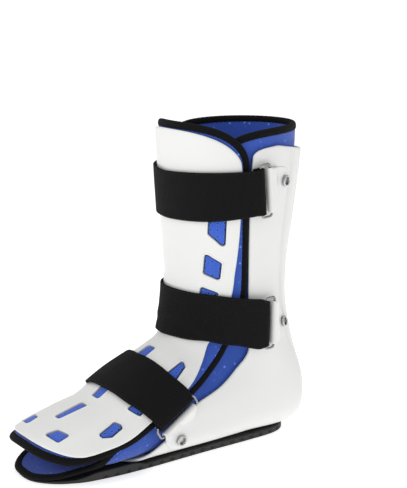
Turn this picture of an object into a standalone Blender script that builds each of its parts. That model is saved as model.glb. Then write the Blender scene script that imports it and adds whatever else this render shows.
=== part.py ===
"""Walking boot: two rigid shells over padded liners, three ringed straps and a rubber sole.

Metres, +Z up. The toes point along -Y and the leg's axis is the Z axis.
The origin is on the sole's underside, below the leg. The boot is the same left and right.

Every wrapped piece is laid over one body surface, the outside of the back liner.
A place on it is a station, counted in sections from 0 above the top to 16 at the toes,
and an angle from the front centre line. A lift is a height above that surface.
"""

from collections import namedtuple
from math import cos, pi, radians, sin

import bmesh
import bpy
from mathutils import Matrix, Vector

# Driving sizes of the whole boot
ANKLE_HEIGHT = 0.150
SHAFT_HEIGHT = 0.125
LEG_WIDTH = 0.107
LEG_DEPTH = 0.116
ANKLE_WIDTH = 0.088
HEEL_LENGTH = 0.073
INSTEP_LENGTH = 0.100
INSTEP_HEIGHT = 0.068
TOE_LENGTH = 0.203
FOOT_WIDTH = 0.089

# Walls and the gaps between pieces
SOLE_THICKNESS = 0.0052
SHELL_WALL = 0.0025
BACK_LINER_WALL = 0.0038
FRONT_LINER_WALL = 0.0046
GAP = 0.0005
SHELL_PLAY = 0.0014
SEAT = 0.0005
STRAP_SEAT = 0.0013

# Bound edges of the liners
BINDING_WIDTH = 0.0064

# Straps, rings, tabs and rivets
STRAP_WIDTH = 0.040
STRAP_THICKNESS = 0.0020
STRAP_TAIL = 0.005
RING_APPROACH = 6.0
RING_WIRE = 0.0026
RING_WIDTH = 0.0095
RING_CORNER = 0.0026
TAB_WALL = 0.0012
TAB_WIDTH = 0.034
TAB_END_WIDTH = 0.018
RIVET_DIAMETER = 0.0095
RIVET_HEAD = 0.0012
RIVET_SHANK = 0.0052
RIVET_BORE = 0.0030
HOLE_PLAY = 0.0004

# Shares of a rivet's radius at its crown and foot, and of half a strap where it climbs to its ring
RIVET_CROWN = 0.80
RIVET_FOOT = 0.96
STRAP_CLIMB = 0.25

# Windows moulded through the front shell, and how far their cutters run past its wall
WINDOW_CORNER = 0.16
CUTTER_RUN = 2 * SHELL_WALL

# Mesh fineness
BACK_COLUMNS = 22
FRONT_COLUMNS = 12
STRAP_COLUMNS = 16
EDGE_CROWDING = 0.55
TUBE_SIDES = 5
WIRE_SIDES = 5
ROUND_SIDES = 8

# How finely a place on the body surface is searched for
EDGE_STEP = 0.05
SEARCH_ANGLE = 1.5
SEARCH_ROUNDS = 18
SETTLE_ROUNDS = 12

# Lifts above the body surface, each worked out from what lies under it
BACK_SHELL_IN = SHELL_PLAY
BACK_SHELL_OUT = BACK_SHELL_IN + SHELL_WALL
FRONT_LINER_IN = GAP
FRONT_LINER_OUT = FRONT_LINER_IN + FRONT_LINER_WALL
FRONT_SHELL_IN = FRONT_LINER_OUT + GAP
FRONT_SHELL_OUT = FRONT_SHELL_IN + SHELL_WALL
STRAP_IN = FRONT_SHELL_OUT + STRAP_SEAT
TAIL_IN = BACK_SHELL_OUT + SEAT
FOLD_LIFT = STRAP_THICKNESS + SEAT + RING_WIRE / 2
RING_LIFT = TAIL_IN + FOLD_LIFT
TAB_OUT = TAIL_IN + TAB_WALL
RIVET_SEAT = TAB_OUT + SEAT

# Leg sections, level: height above the ankle over SHAFT_HEIGHT, half width over LEG_WIDTH,
# front and back reach over LEG_DEPTH
LegRow = namedtuple("LegRow", "height half_width front back")
LEG_ROWS = (
    LegRow(1.080, 0.500, 0.453, 0.547),
    LegRow(0.840, 0.491, 0.440, 0.543),
    LegRow(0.600, 0.472, 0.429, 0.516),
    LegRow(0.344, 0.453, 0.414, 0.473),
    LegRow(0.144, 0.432, 0.397, 0.438),
    LegRow(0.000, 0.419, 0.390, 0.424),
)

# Heel sections, fanned from instep to heel: front_y over INSTEP_LENGTH, back_y over HEEL_LENGTH,
# both heights over the ankle's height above the footbed, half width over ANKLE_WIDTH
HeelRow = namedtuple("HeelRow", "front_y front_z back_y back_z half_width widest round_back")
HEEL_ROWS = (
    HeelRow(0.462, 0.917, 0.678, 0.776, 0.498, 0.50, 2.0),
    HeelRow(0.466, 0.832, 0.789, 0.505, 0.486, 0.52, 2.1),
    HeelRow(0.480, 0.755, 0.955, 0.205, 0.477, 0.56, 2.4),
    HeelRow(0.512, 0.690, 0.760, 0.016, 0.472, 0.60, 3.4),
    HeelRow(0.582, 0.590, 0.011, 0.005, 0.472, 0.62, 4.2),
    HeelRow(0.745, 0.517, -0.656, 0.000, 0.483, 0.62, 4.8),
)

# Foot sections, upright: reach over TOE_LENGTH, top over INSTEP_HEIGHT, half width over FOOT_WIDTH.
# plate is 1 where the back shell's footplate lies under the liner
FootRow = namedtuple("FootRow", "reach top half_width widest round_top round_back plate")
FOOT_ROWS = (
    FootRow(0.493, 1.000, 0.489, 0.60, 2.1, 5.0, 1),
    FootRow(0.640, 0.700, 0.500, 0.58, 2.2, 5.0, 1),
    FootRow(0.788, 0.565, 0.494, 0.55, 2.2, 4.6, 1),
    FootRow(0.911, 0.465, 0.427, 0.52, 2.2, 4.0, 0),
    FootRow(1.000, 0.375, 0.281, 0.50, 2.2, 3.0, 0),
)

# Sole outline and thickness: place along the boot over HEEL_LENGTH behind the leg or TOE_LENGTH
# before it, half width over FOOT_WIDTH, thickness over SOLE_THICKNESS
SoleRow = namedtuple("SoleRow", "place half_width thickness")
SOLE_ROWS = (
    SoleRow(0.726, 0.040, 1.00),
    SoleRow(0.700, 0.155, 1.00),
    SoleRow(0.616, 0.270, 1.00),
    SoleRow(0.411, 0.348, 1.00),
    SoleRow(0.000, 0.382, 1.00),
    SoleRow(-0.200, 0.405, 1.00),
    SoleRow(-0.400, 0.440, 0.96),
    SoleRow(-0.493, 0.456, 0.90),
    SoleRow(-0.640, 0.470, 0.75),
    SoleRow(-0.788, 0.445, 0.55),
    SoleRow(-0.860, 0.390, 0.52),
    SoleRow(-0.911, 0.325, 0.50),
    SoleRow(-0.955, 0.225, 0.36),
    SoleRow(-0.978, 0.130, 0.28),
    SoleRow(-0.985, 0.035, 0.26),
)

# Side edges: station along the boot and degrees from the front centre line
EdgeRow = namedtuple("EdgeRow", "station angle")
FRONT_SHELL_EDGE = (
    EdgeRow(0.0, 68), EdgeRow(2.7, 68), EdgeRow(4.7, 64), EdgeRow(5.8, 61.5), EdgeRow(7.2, 52),
    EdgeRow(8.4, 42.5), EdgeRow(9.2, 40), EdgeRow(10.1, 47.5), EdgeRow(11.0, 60),
    EdgeRow(12.3, 76), EdgeRow(13.5, 81), EdgeRow(16.0, 82),
)
FRONT_LINER_EDGE = (
    EdgeRow(0.0, 75), EdgeRow(2.7, 76), EdgeRow(4.0, 77), EdgeRow(5.8, 76), EdgeRow(7.2, 64),
    EdgeRow(8.5, 53.5), EdgeRow(9.6, 55), EdgeRow(10.9, 67), EdgeRow(12.3, 86),
    EdgeRow(13.4, 90), EdgeRow(16.0, 90),
)
BACK_SHELL_EDGE = (
    EdgeRow(0.0, 79), EdgeRow(2.7, 77.5), EdgeRow(5.8, 79), EdgeRow(7.9, 71), EdgeRow(9.1, 66),
    EdgeRow(10.0, 71.5), EdgeRow(11.1, 78.5), EdgeRow(11.6, 90), EdgeRow(11.95, 105),
    EdgeRow(12.25, 127), EdgeRow(12.7, 134), EdgeRow(16.0, 134),
)
BACK_LINER_EDGE = (
    EdgeRow(0.0, 54), EdgeRow(5.0, 54), EdgeRow(7.0, 44), EdgeRow(9.0, 34), EdgeRow(10.2, 40),
    EdgeRow(12.3, 66), EdgeRow(13.1, 78), EdgeRow(13.6, 91), EdgeRow(14.1, 115),
    EdgeRow(14.6, 127), EdgeRow(16.0, 131),
)

# A panel's outline: its side edge, the stations of its two ends, how many stations its rounded
# corners take and how square they are, and how far its top edge dips at the centre line
Outline = namedtuple("Outline", "edge behind top toe top_corner top_power toe_corner toe_power dip")
FRONT_SHELL = Outline(FRONT_SHELL_EDGE, False, 0.38, 15.50, 1.00, 2.3, 1.50, 2.0, 0.0)
FRONT_LINER = Outline(FRONT_LINER_EDGE, False, 0.17, 15.98, 1.10, 2.6, 1.50, 2.2, 0.0)
BACK_SHELL = Outline(BACK_SHELL_EDGE, True, 0.78, 13.95, 0.60, 6.0, 0.30, 4.0, 0.27)
BACK_LINER = Outline(BACK_LINER_EDGE, True, 0.36, 15.98, 0.70, 4.0, 1.30, 2.3, 0.0)
DIP_SPAN = 0.75

# Stations of the rows that all panels of one side share between their rounded ends
BACK_STATIONS = (2.2, 3.6, 5, 5.8, 6.6, 7.3, 7.9, 8.3, 8.7, 9.1, 9.6, 10.3, 11, 11.6, 12.1, 12.8,
                 13.5)
FRONT_STATIONS = (2.2, 3.5, 5, 6, 7, 8, 9, 10, 11, 11.6, 12.2, 13, 13.8)
END_SHARES = (0.0, 0.3, 0.65)

# Straps: the angle from the centre line and the stations of both long edges there, then the
# angles of the ring bar at both edges and the rivet's place
StrapRow = namedtuple("StrapRow", "angle upper lower")
Strap = namedtuple("Strap", "name rows bar_upper bar_lower tail_in tail rivet_station rivet_angle")
STRAPS = (
    Strap("upper", (StrapRow(0, 1.48, 2.76), StrapRow(45, 1.42, 2.72), StrapRow(90, 1.36, 2.56)),
          83.5, 87.5, TAIL_IN, STRAP_TAIL, 1.80, 113),
    Strap("ankle", (StrapRow(0, 5.95, 9.90), StrapRow(25, 5.90, 9.50), StrapRow(44, 5.80, 8.75),
                    StrapRow(60, 5.80, 8.08), StrapRow(96, 5.82, 7.45)),
          95.5, 83.5, TAIL_IN, STRAP_TAIL, 6.59, 122),
    Strap("forefoot", (StrapRow(0, 11.42, 12.64), StrapRow(39, 11.28, 12.56),
                       StrapRow(62, 11.10, 12.36), StrapRow(86, 11.06, 12.08)),
          67.0, 84.0, FRONT_LINER_OUT + SEAT, STRAP_TAIL / 2, 11.50, 102),
)

# Rows of a keeper tab behind its ring: share of its length, how far it still hangs from the
# ring's height to the shell's, and width over the tapering width there
TabRow = namedtuple("TabRow", "length rise width")
TAB_ROWS = (
    TabRow(0.20, 0.50, 1.0),
    TabRow(0.38, 0.05, 1.0),
    TabRow(0.55, 0.00, 1.0),
    TabRow(0.70, 0.00, 1.0),
    TabRow(0.85, 0.00, 1.0),
    TabRow(1.00, 0.00, 0.55),
)

# Windows: four corners, each an angle and a station. Those away from the centre come in pairs
Window = namedtuple("Window", "name paired corners")
WINDOWS = (
    Window("shin_high", True, ((42, 2.15), (56, 2.35), (54.5, 3.52), (40, 3.08))),
    Window("shin_middle", True, ((37, 3.76), (51.5, 4.13), (50, 4.95), (35, 4.62))),
    Window("shin_low", True, ((33, 5.48), (49, 5.72), (44, 7.0), (31, 6.5))),
    Window("instep_side", True, ((36, 10.58), (41.5, 10.68), (50.5, 11.35), (40, 11.60))),
    Window("instep_centre", False, ((-6, 10.90), (6, 10.90), (7, 11.65), (-7, 11.65))),
    Window("arch_side", True, ((46, 12.05), (57, 11.95), (61, 12.45), (45, 12.62))),
    Window("arch_centre", False, ((-7, 12.30), (7, 12.30), (5, 12.93), (-5, 12.93))),
    Window("ball_centre", False, ((-4.5, 13.32), (4.5, 13.32), (3.5, 14.20), (-3.5, 14.20))),
    Window("ball_side", True, ((51.5, 13.08), (63.5, 12.94), (68.5, 13.42), (62, 13.74))),
    Window("toe_side", True, ((20, 14.98), (22, 14.56), (40, 14.40), (44.5, 14.82))),
)

# Finishes: colour, roughness and metallic
Finish = namedtuple("Finish", "colour roughness metallic")
FINISHES = {
    "moulded_white": Finish((0.84, 0.84, 0.82), 0.28, 0.0),
    "blue_fabric": Finish((0.045, 0.11, 0.58), 0.85, 0.0),
    "black_fabric": Finish((0.012, 0.012, 0.013), 0.80, 0.0),
    "dark_rubber": Finish((0.03, 0.03, 0.032), 0.65, 0.0),
    "bright_steel": Finish((0.78, 0.78, 0.79), 0.18, 1.0),
}


def blend(before, start, end, after, share):
    """The smooth curve through four values in a row, between the middle two."""
    lead = 2 * start
    slope = end - before
    bend = 2 * before - 5 * start + 4 * end - after
    twist = 3 * start - before - 3 * end + after
    return (lead + slope * share + bend * share ** 2 + twist * share ** 3) / 2


def along(rows, place):
    """The rows' values at a place counted in rows."""
    last = len(rows) - 1
    place = min(max(place, 0.0), last - 1e-9)
    index = int(place)
    near = [rows[min(max(index + step, 0), last)] for step in (-1, 0, 1, 2)]
    return [blend(*values, place - index) for values in zip(*near)]


def between(rows, key):
    """The second value of rows that stand in the order of their first, at a key."""
    if key <= rows[0][0]:
        return rows[0][1]
    if key >= rows[-1][0]:
        return rows[-1][1]
    index = max(i for i, row in enumerate(rows[:-1]) if row[0] <= key)
    slopes = []
    for i in (index, index + 1):
        left, right = rows[max(i - 1, 0)], rows[min(i + 1, len(rows) - 1)]
        slopes.append((right[1] - left[1]) / (right[0] - left[0]))
    start, end = rows[index], rows[index + 1]
    span = end[0] - start[0]
    share = (key - start[0]) / span
    bump = share * share * (3 - 2 * share)
    rise = start[1] + (end[1] - start[1]) * bump
    ease_in = share * (1 - share) ** 2 * slopes[0]
    ease_out = share * share * (1 - share) * slopes[1]
    return rise + span * (ease_in - ease_out)


def sole_y(place):
    """A sole row's place as a length, behind the leg or before it."""
    return place * (HEEL_LENGTH if place > 0 else TOE_LENGTH)


def sole_top(y):
    """The sole's thickness at a place along the boot."""
    rows = sorted((sole_y(row.place), row.thickness) for row in SOLE_ROWS)
    for (start, thin), (end, thick) in zip(rows, rows[1:]):
        if y <= end:
            share = max((y - start) / (end - start), 0.0)
            return (thin + (thick - thin) * share) * SOLE_THICKNESS
    return SOLE_THICKNESS


def boot_sections():
    """Every section as lengths: front point, back point, half width, widest share, roundness."""
    footbed = SOLE_THICKNESS + SEAT + BACK_SHELL_OUT
    rise = ANKLE_HEIGHT - footbed
    sections = []
    for row in LEG_ROWS:
        z = ANKLE_HEIGHT + row.height * SHAFT_HEIGHT
        widest = row.front / (row.front + row.back)
        sections.append((-row.front * LEG_DEPTH, z, row.back * LEG_DEPTH, z,
                         row.half_width * LEG_WIDTH, widest, 2.0, 2.0))
    for row in HEEL_ROWS:
        front_y = -row.front_y * INSTEP_LENGTH
        back_y = row.back_y * HEEL_LENGTH
        sections.append((front_y, footbed + row.front_z * rise, back_y, footbed + row.back_z * rise,
                         row.half_width * ANKLE_WIDTH, row.widest, 2.0, row.round_back))
    for row in FOOT_ROWS:
        y = -row.reach * TOE_LENGTH
        bottom = sole_top(y) + SEAT + row.plate * BACK_SHELL_OUT
        sections.append((y, row.top * INSTEP_HEIGHT, y, bottom,
                         row.half_width * FOOT_WIDTH, row.widest, row.round_top, row.round_back))
    return sections


SECTIONS = boot_sections()


def body_point(station, angle):
    """A point of the body surface: each section is an oval with its own roundness."""
    front_y, front_z, back_y, back_z, half, widest, round_front, round_back = along(SECTIONS, station)
    across, down = sin(angle), cos(angle)
    power = 2 / (round_front if down > 0 else round_back)
    reach = abs(down) ** power
    share = widest - widest * reach if down > 0 else widest + (1 - widest) * reach
    x = half * abs(across) ** power * (1 if across > 0 else -1)
    return Vector((x, front_y + (back_y - front_y) * share, front_z + (back_z - front_z) * share))


def body_steps(station, angle, step=1e-3):
    """How a point moves for each station and for each radian."""
    last = len(SECTIONS) - 1
    low, high = max(station - step, 0.0), min(station + step, last)
    down = (body_point(high, angle) - body_point(low, angle)) / (high - low)
    around = (body_point(station, angle + step) - body_point(station, angle - step)) / (2 * step)
    return down, around


def body_normal(station, angle):
    down, around = body_steps(station, angle)
    return down.cross(around).normalized()


def lifted(station, angle, lift):
    return body_point(station, angle) + body_normal(station, angle) * lift


def settle(point, station, angle):
    """The station and angle under a point, found from a near guess."""
    for _ in range(SETTLE_ROUNDS):
        miss = point - body_point(station, angle)
        down, around = body_steps(station, angle)
        dd, aa, da = down.dot(down), around.dot(around), down.dot(around)
        det = dd * aa - da * da
        station += (miss.dot(down) * aa - miss.dot(around) * da) / det
        angle += (miss.dot(around) * dd - miss.dot(down) * da) / det
    return station, angle


def corner(across, power):
    """0 along the middle of an edge, rising to 1 at its rounded corner."""
    return 1 - max(1 - abs(across) ** power, 0.0) ** (1 / power)


def drawn_in(outline, station, inset):
    """A panel's edge angle at a station, moved inwards by a distance measured square to the edge."""
    edge = radians(between(outline.edge, station))
    if inset == 0.0:
        return edge
    later = radians(between(outline.edge, station + EDGE_STEP))
    start = body_point(station, edge)
    run = body_point(station + EDGE_STEP, later) - start
    inward = 1 if outline.behind else -1
    near, far = 0.0, SEARCH_ANGLE
    for _ in range(SEARCH_ROUNDS):
        middle = (near + far) / 2
        way = body_point(station, edge + inward * middle) - start
        square = way - run * (way.dot(run) / run.length_squared)
        if square.length < inset:
            near = middle
        else:
            far = middle
    return edge + inward * near


def place_on(outline, row, across, inset):
    """The station and angle of a place on a panel, with its edge drawn in by inset."""
    centre = pi if outline.behind else 0.0
    top_step = body_steps(outline.top, centre)[0].length
    toe_step = body_steps(outline.toe, centre)[0].length
    dip = outline.dip * max(1 - (across / DIP_SPAN) ** 2, 0.0)
    top = outline.top + inset / top_step + dip
    top += outline.top_corner * corner(across, outline.top_power)
    toe = outline.toe - inset / toe_step
    toe -= outline.toe_corner * corner(across, outline.toe_power)
    station = row(top, toe)
    edge = drawn_in(outline, station, inset)
    if outline.behind:
        return station, pi - across * (pi - edge)
    return station, across * edge


def panel_rows(outline):
    """Rows of a panel, each a function of its two end stations."""
    shared = BACK_STATIONS if outline.behind else FRONT_STATIONS
    first, last = shared[0], shared[-1]
    rows = [lambda top, toe, s=s: top + (first - top) * s for s in END_SHARES]
    rows += [lambda top, toe, k=k: k for k in shared if k < outline.toe - outline.toe_corner]
    rows += [lambda top, toe, s=s: toe + (last - toe) * s for s in reversed(END_SHARES)]
    return rows


def crowded(columns):
    """Places from -1 to 1, closer together near both ends."""
    places = []
    for index in range(columns + 1):
        even = 2 * index / columns - 1
        places.append((1 - EDGE_CROWDING) * even + EDGE_CROWDING * sin(even * pi / 2))
    return places


def material(name):
    """The named finish as a material, made once."""
    if name in bpy.data.materials:
        return bpy.data.materials[name]
    finish = FINISHES[name]
    made = bpy.data.materials.new(name)
    made.use_nodes = True
    shader = made.node_tree.nodes["Principled BSDF"]
    shader.inputs["Base Color"].default_value = (*finish.colour, 1.0)
    shader.inputs["Roughness"].default_value = finish.roughness
    shader.inputs["Metallic"].default_value = finish.metallic
    made.diffuse_color = (*finish.colour, 1.0)
    return made


def add_object(name, bm, finish):
    """A mesh object with its normals out and its round faces shaded smooth."""
    bmesh.ops.recalc_face_normals(bm, faces=bm.faces[:])
    if bm.calc_volume(signed=True) < 0:
        bmesh.ops.reverse_faces(bm, faces=bm.faces[:])
    mesh = bpy.data.meshes.new(name)
    bm.to_mesh(mesh)
    bm.free()
    mesh.materials.append(finish)
    mesh.shade_smooth()
    mesh.set_sharp_from_angle(angle=radians(40))
    made = bpy.data.objects.new(name, mesh)
    bpy.context.scene.collection.objects.link(made)
    return made


def grid_solid(inner, outer):
    """A closed wall between two grids of points of the same size."""
    bm = bmesh.new()
    skins = [[[bm.verts.new(point) for point in row] for row in grid] for grid in (inner, outer)]
    rows, columns = len(inner), len(inner[0])
    for skin in skins:
        for i in range(rows - 1):
            for j in range(columns - 1):
                bm.faces.new((skin[i][j], skin[i + 1][j], skin[i + 1][j + 1], skin[i][j + 1]))
    rim = [(i, 0) for i in range(rows)]
    rim += [(rows - 1, j) for j in range(1, columns)]
    rim += [(i, columns - 1) for i in range(rows - 2, -1, -1)]
    rim += [(0, j) for j in range(columns - 2, 0, -1)]
    for (i, j), (k, m) in zip(rim, rim[1:] + rim[:1]):
        bm.faces.new((skins[0][i][j], skins[0][k][m], skins[1][k][m], skins[1][i][j]))
    return bm


def panel(name, outline, inset, low, high, finish):
    """A shell or a liner: the piece of the body surface inside an outline, with a thickness."""
    columns = crowded(BACK_COLUMNS if outline.behind else FRONT_COLUMNS)
    places = [[place_on(outline, row, across, inset) for across in columns]
              for row in panel_rows(outline)]
    grids = [[[lifted(*place, lift) for place in row] for row in places] for lift in (low, high)]
    return add_object(name, grid_solid(*grids), finish)


def outline_loop(outline, inset):
    """Places once around a panel's edge."""
    rows = panel_rows(outline)
    columns = crowded(BACK_COLUMNS if outline.behind else FRONT_COLUMNS)
    loop = [place_on(outline, rows[0], across, inset) for across in columns]
    loop += [place_on(outline, row, 1.0, inset) for row in rows[1:-1]]
    loop += [place_on(outline, rows[-1], across, inset) for across in reversed(columns)]
    loop += [place_on(outline, row, -1.0, inset) for row in reversed(rows[1:-1])]
    return loop


def tube(rings):
    """A closed or capped run of rings of points."""
    bm = bmesh.new()
    loops = [[bm.verts.new(point) for point in loop] for loop in rings]
    sides = len(rings[0])
    for loop, after in zip(loops, loops[1:] + loops[:1]):
        for k in range(sides):
            m = (k + 1) % sides
            bm.faces.new((loop[k], loop[m], after[m], after[k]))
    return bm


def binding(name, outline, lift, half_height):
    """The bound edge of a liner: a tube around its outline."""
    places = outline_loop(outline, BINDING_WIDTH / 2)
    centres = [lifted(*place, lift) for place in places]
    rings = []
    for index, centre in enumerate(centres):
        run = (centres[(index + 1) % len(centres)] - centres[index - 1]).normalized()
        up = body_normal(*places[index])
        side = run.cross(up).normalized()
        loop = []
        for k in range(TUBE_SIDES):
            turn = 2 * pi * k / TUBE_SIDES
            loop.append(centre + side * cos(turn) * BINDING_WIDTH / 2 + up * sin(turn) * half_height)
        rings.append(loop)
    return add_object(name, tube(rings), material("black_fabric"))


def sole():
    """The rubber sole: flat below, its top following the footplate."""
    outline = []
    steps = 2
    for index in range((len(SOLE_ROWS) - 1) * steps + 1):
        place, half, _ = along(SOLE_ROWS, index / steps)
        outline.append((sole_y(place), half * FOOT_WIDTH))
    floor = [[Vector((side * half, y, 0.0)) for side in (-1, 0, 1)] for y, half in outline]
    top = [[Vector((p.x, p.y, sole_top(p.y))) for p in row] for row in floor]
    return add_object("sole", grid_solid(floor, top), material("dark_rubber"))


def strap_station(strap, angle, share):
    """The station at a share of the strap's width, from its upper edge to its lower one."""
    key = abs(angle) * 180 / pi
    upper = between([(row.angle, row.upper) for row in strap.rows], key)
    lower = between([(row.angle, row.lower) for row in strap.rows], key)
    return upper + (lower - upper) * share


RingFrame = namedtuple("RingFrame", "front back run side up")


def ring_frame(strap):
    """Where a ring on the +X side lies: its two bars' middles and its three directions."""
    ends = []
    for share, degrees_round in ((0.0, strap.bar_upper), (1.0, strap.bar_lower)):
        angle = radians(degrees_round)
        ends.append(lifted(strap_station(strap, angle, share), angle, strap.tail_in + FOLD_LIFT))
    front = (ends[0] + ends[1]) / 2
    run = (ends[1] - ends[0]).normalized()
    angle = radians((strap.bar_upper + strap.bar_lower) / 2)
    station, angle = settle(front, strap_station(strap, angle, 0.5), angle)
    front = lifted(station, angle, strap.tail_in + FOLD_LIFT)
    side = run.cross(body_normal(station, angle)).normalized()
    side = side if side.dot(body_steps(station, angle)[1]) > 0 else -side
    behind = settle(front + side * RING_WIDTH, station, angle)
    back = lifted(*behind, RING_LIFT)
    side = back - front
    side = (side - run * side.dot(run)).normalized()
    up = run.cross(side).normalized()
    up = up if up.dot(body_normal(station, angle)) > 0 else -up
    return RingFrame(front, front + side * RING_WIDTH, run, side, up)


def ring(name, frame):
    """A rectangular wire ring with rounded corners."""
    middle = (frame.front + frame.back) / 2
    half_run = STRAP_WIDTH / 2 + RING_WIRE
    half_side = RING_WIDTH / 2
    rings = []
    for run_sign, side_sign, first in ((1, 1, 0), (1, -1, 90), (-1, -1, 180), (-1, 1, 270)):
        for turn in (0, 45, 90):
            swing = radians(first + turn)
            out = frame.side * cos(swing) + frame.run * sin(swing)
            middle_of_corner = middle + frame.run * run_sign * (half_run - RING_CORNER)
            middle_of_corner += frame.side * side_sign * (half_side - RING_CORNER)
            centre = middle_of_corner + out * RING_CORNER
            rings.append([centre + (out * cos(a) + frame.up * sin(a)) * RING_WIRE / 2
                          for a in (2 * pi * k / WIRE_SIDES for k in range(WIRE_SIDES))])
    return add_object(name, tube(rings), material("bright_steel"))


def curl(frame, bar, side_sign, wall, share_of_run, turns):
    """Pairs of inner and outer points of a band that wraps a ring's bar."""
    inner = RING_WIRE / 2 + SEAT
    centre = bar + frame.run * share_of_run
    pairs = []
    for turn in turns:
        out = frame.side * side_sign * cos(radians(turn)) + frame.up * sin(radians(turn))
        pairs.append((centre + out * inner, centre + out * (inner + wall)))
    return pairs


def mirrored(pairs):
    return [tuple(Vector((-p.x, p.y, p.z)) for p in pair) for pair in pairs]


def strap_section(strap, frame, share):
    """One lengthwise row of a strap: pairs of points from the left ring to the right one."""
    across = STRAP_WIDTH * (share - 0.5)
    wrap = curl(frame, frame.front, 1, STRAP_THICKNESS, across, (90, 45, 0, -45, -90))
    half = wrap + [tuple(point - frame.side * strap.tail for point in wrap[-1])]
    stop = strap.bar_upper + (strap.bar_lower - strap.bar_upper) * share - RING_APPROACH
    climb = strap.tail_in + FOLD_LIFT + RING_WIRE / 2 + SEAT - STRAP_IN
    run = []
    for index in range(STRAP_COLUMNS + 1):
        angle = radians(stop) * (2 * index / STRAP_COLUMNS - 1)
        station = strap_station(strap, angle, share)
        normal = body_normal(station, angle)
        base = body_point(station, angle)
        if 0.0 < share < 1.0:
            edges = [lifted(strap_station(strap, angle, s), angle, STRAP_IN) for s in (0.0, 1.0)]
            bridge = (edges[0] + edges[1]) / 2
            lift = max(STRAP_IN, (bridge - base).dot(normal))
        else:
            lift = STRAP_IN
        near_ring = (abs(2 * index / STRAP_COLUMNS - 1) - 1 + STRAP_CLIMB) / STRAP_CLIMB
        lift += climb * max(near_ring, 0.0)
        run.append((base + normal * lift, base + normal * (lift + STRAP_THICKNESS)))
    return list(reversed(mirrored(half))) + run + half


def strap_piece(strap):
    """A band over the front of the boot, folded around a ring at each end."""
    frame = ring_frame(strap)
    sections = [strap_section(strap, frame, share) for share in (0.0, 0.5, 1.0)]
    inner = [[pair[0] for pair in section] for section in sections]
    outer = [[pair[1] for pair in section] for section in sections]
    return add_object(strap.name + "_strap", grid_solid(inner, outer), material("black_fabric"))


def tab_section(strap, frame, share):
    """One row of a keeper tab, around the ring's back bar and down onto the shell."""
    across = share - 0.5
    wrap = curl(frame, frame.back, -1, TAB_WALL, TAB_WIDTH * across, (-90, -45, 0, 45, 90))
    guess = radians((strap.bar_upper + strap.bar_lower) / 2)
    station, angle = settle(frame.back, strap_station(strap, guess, 0.5), guess)
    fixing = body_point(strap.rivet_station, radians(strap.rivet_angle))
    way = fixing - body_point(station, angle)
    way -= frame.up * way.dot(frame.up)
    length = way.length + TAB_END_WIDTH / 2
    way.normalize()
    base = body_point(station, angle)
    lead = base - frame.back
    tail = []
    for row in TAB_ROWS:
        width = (TAB_WIDTH + (TAB_END_WIDTH - TAB_WIDTH) * row.length) * row.width
        point = frame.back + lead + way * length * row.length + frame.run * width * across
        low = TAIL_IN + row.rise * (RING_LIFT + RING_WIRE / 2 + SEAT - TAIL_IN)
        place = settle(point, station, angle)
        tail.append((lifted(*place, low), lifted(*place, low + TAB_WALL)))
    return wrap + tail


def tab(name, strap, frame):
    sections = [tab_section(strap, frame, share) for share in (0.0, 0.5, 1.0)]
    inner = [[pair[0] for pair in section] for section in sections]
    outer = [[pair[1] for pair in section] for section in sections]
    return add_object(name, grid_solid(inner, outer), material("moulded_white"))


def turned(profile, sides):
    """A lathed solid about Z from rows of radius and height, closed at both ends."""
    bm = bmesh.new()
    loops = []
    for radius, height in profile:
        if radius == 0.0:
            loops.append([bm.verts.new((0.0, 0.0, height))])
        else:
            loops.append([bm.verts.new((radius * cos(2 * pi * k / sides),
                                        radius * sin(2 * pi * k / sides), height))
                          for k in range(sides)])
    for ring_a, ring_b in zip(loops, loops[1:]):
        for k in range(sides):
            m = (k + 1) % sides
            corners = [ring_a[k % len(ring_a)], ring_a[m % len(ring_a)],
                       ring_b[m % len(ring_b)], ring_b[k % len(ring_b)]]
            bm.faces.new(list(dict.fromkeys(corners)))
    return bm


def rivet_matrix(strap, side):
    """Z along the body's normal at the rivet, on the +X side or its mirror."""
    angle = radians(strap.rivet_angle) * side
    origin = body_point(strap.rivet_station, angle)
    turn = body_normal(strap.rivet_station, angle).to_track_quat("Z", "Y")
    return Matrix.Translation(origin) @ turn.to_matrix().to_4x4()


def rivet(name, strap, side):
    """A tubular rivet: a domed flange and a shank with a bore in its end."""
    head, shank, bore = RIVET_DIAMETER / 2, RIVET_SHANK / 2, RIVET_BORE / 2
    top = RIVET_SEAT + RIVET_HEAD
    profile = ((0.0, BACK_SHELL_OUT), (bore, BACK_SHELL_OUT), (bore, top), (head * RIVET_CROWN, top),
               (head, RIVET_SEAT + RIVET_HEAD / 3), (head * RIVET_FOOT, RIVET_SEAT), (shank, RIVET_SEAT),
               (shank, BACK_SHELL_IN + SHELL_WALL / 4), (0.0, BACK_SHELL_IN + SHELL_WALL / 4))
    bm = turned(profile, ROUND_SIDES)
    bm.transform(rivet_matrix(strap, side))
    return add_object(name, bm, material("bright_steel"))


def cut(target, cutter):
    """Cut a hidden wire body out of a piece."""
    cutter.hide_render = True
    cutter.hide_viewport = True
    cutter.display_type = "WIRE"
    boolean = target.modifiers.new(cutter.name, "BOOLEAN")
    boolean.operation = "DIFFERENCE"
    boolean.solver = "EXACT"
    boolean.object = cutter


def rivet_hole(target, strap, side, low, high, name):
    """A round hole for a rivet's shank."""
    radius = RIVET_SHANK / 2 + HOLE_PLAY
    bm = turned(((0.0, low), (radius, low), (radius, high), (0.0, high)), ROUND_SIDES)
    bm.transform(rivet_matrix(strap, side))
    cut(target, add_object(name, bm, material("bright_steel")))


def window_corners(corners):
    """A window's outline with each corner cut off."""
    cut_off = []
    for index, (angle, station) in enumerate(corners):
        for step in (-1, 1):
            other_angle, other_station = corners[(index + step) % len(corners)]
            cut_off.append((angle + (other_angle - angle) * WINDOW_CORNER,
                            station + (other_station - station) * WINDOW_CORNER))
    return cut_off


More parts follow.
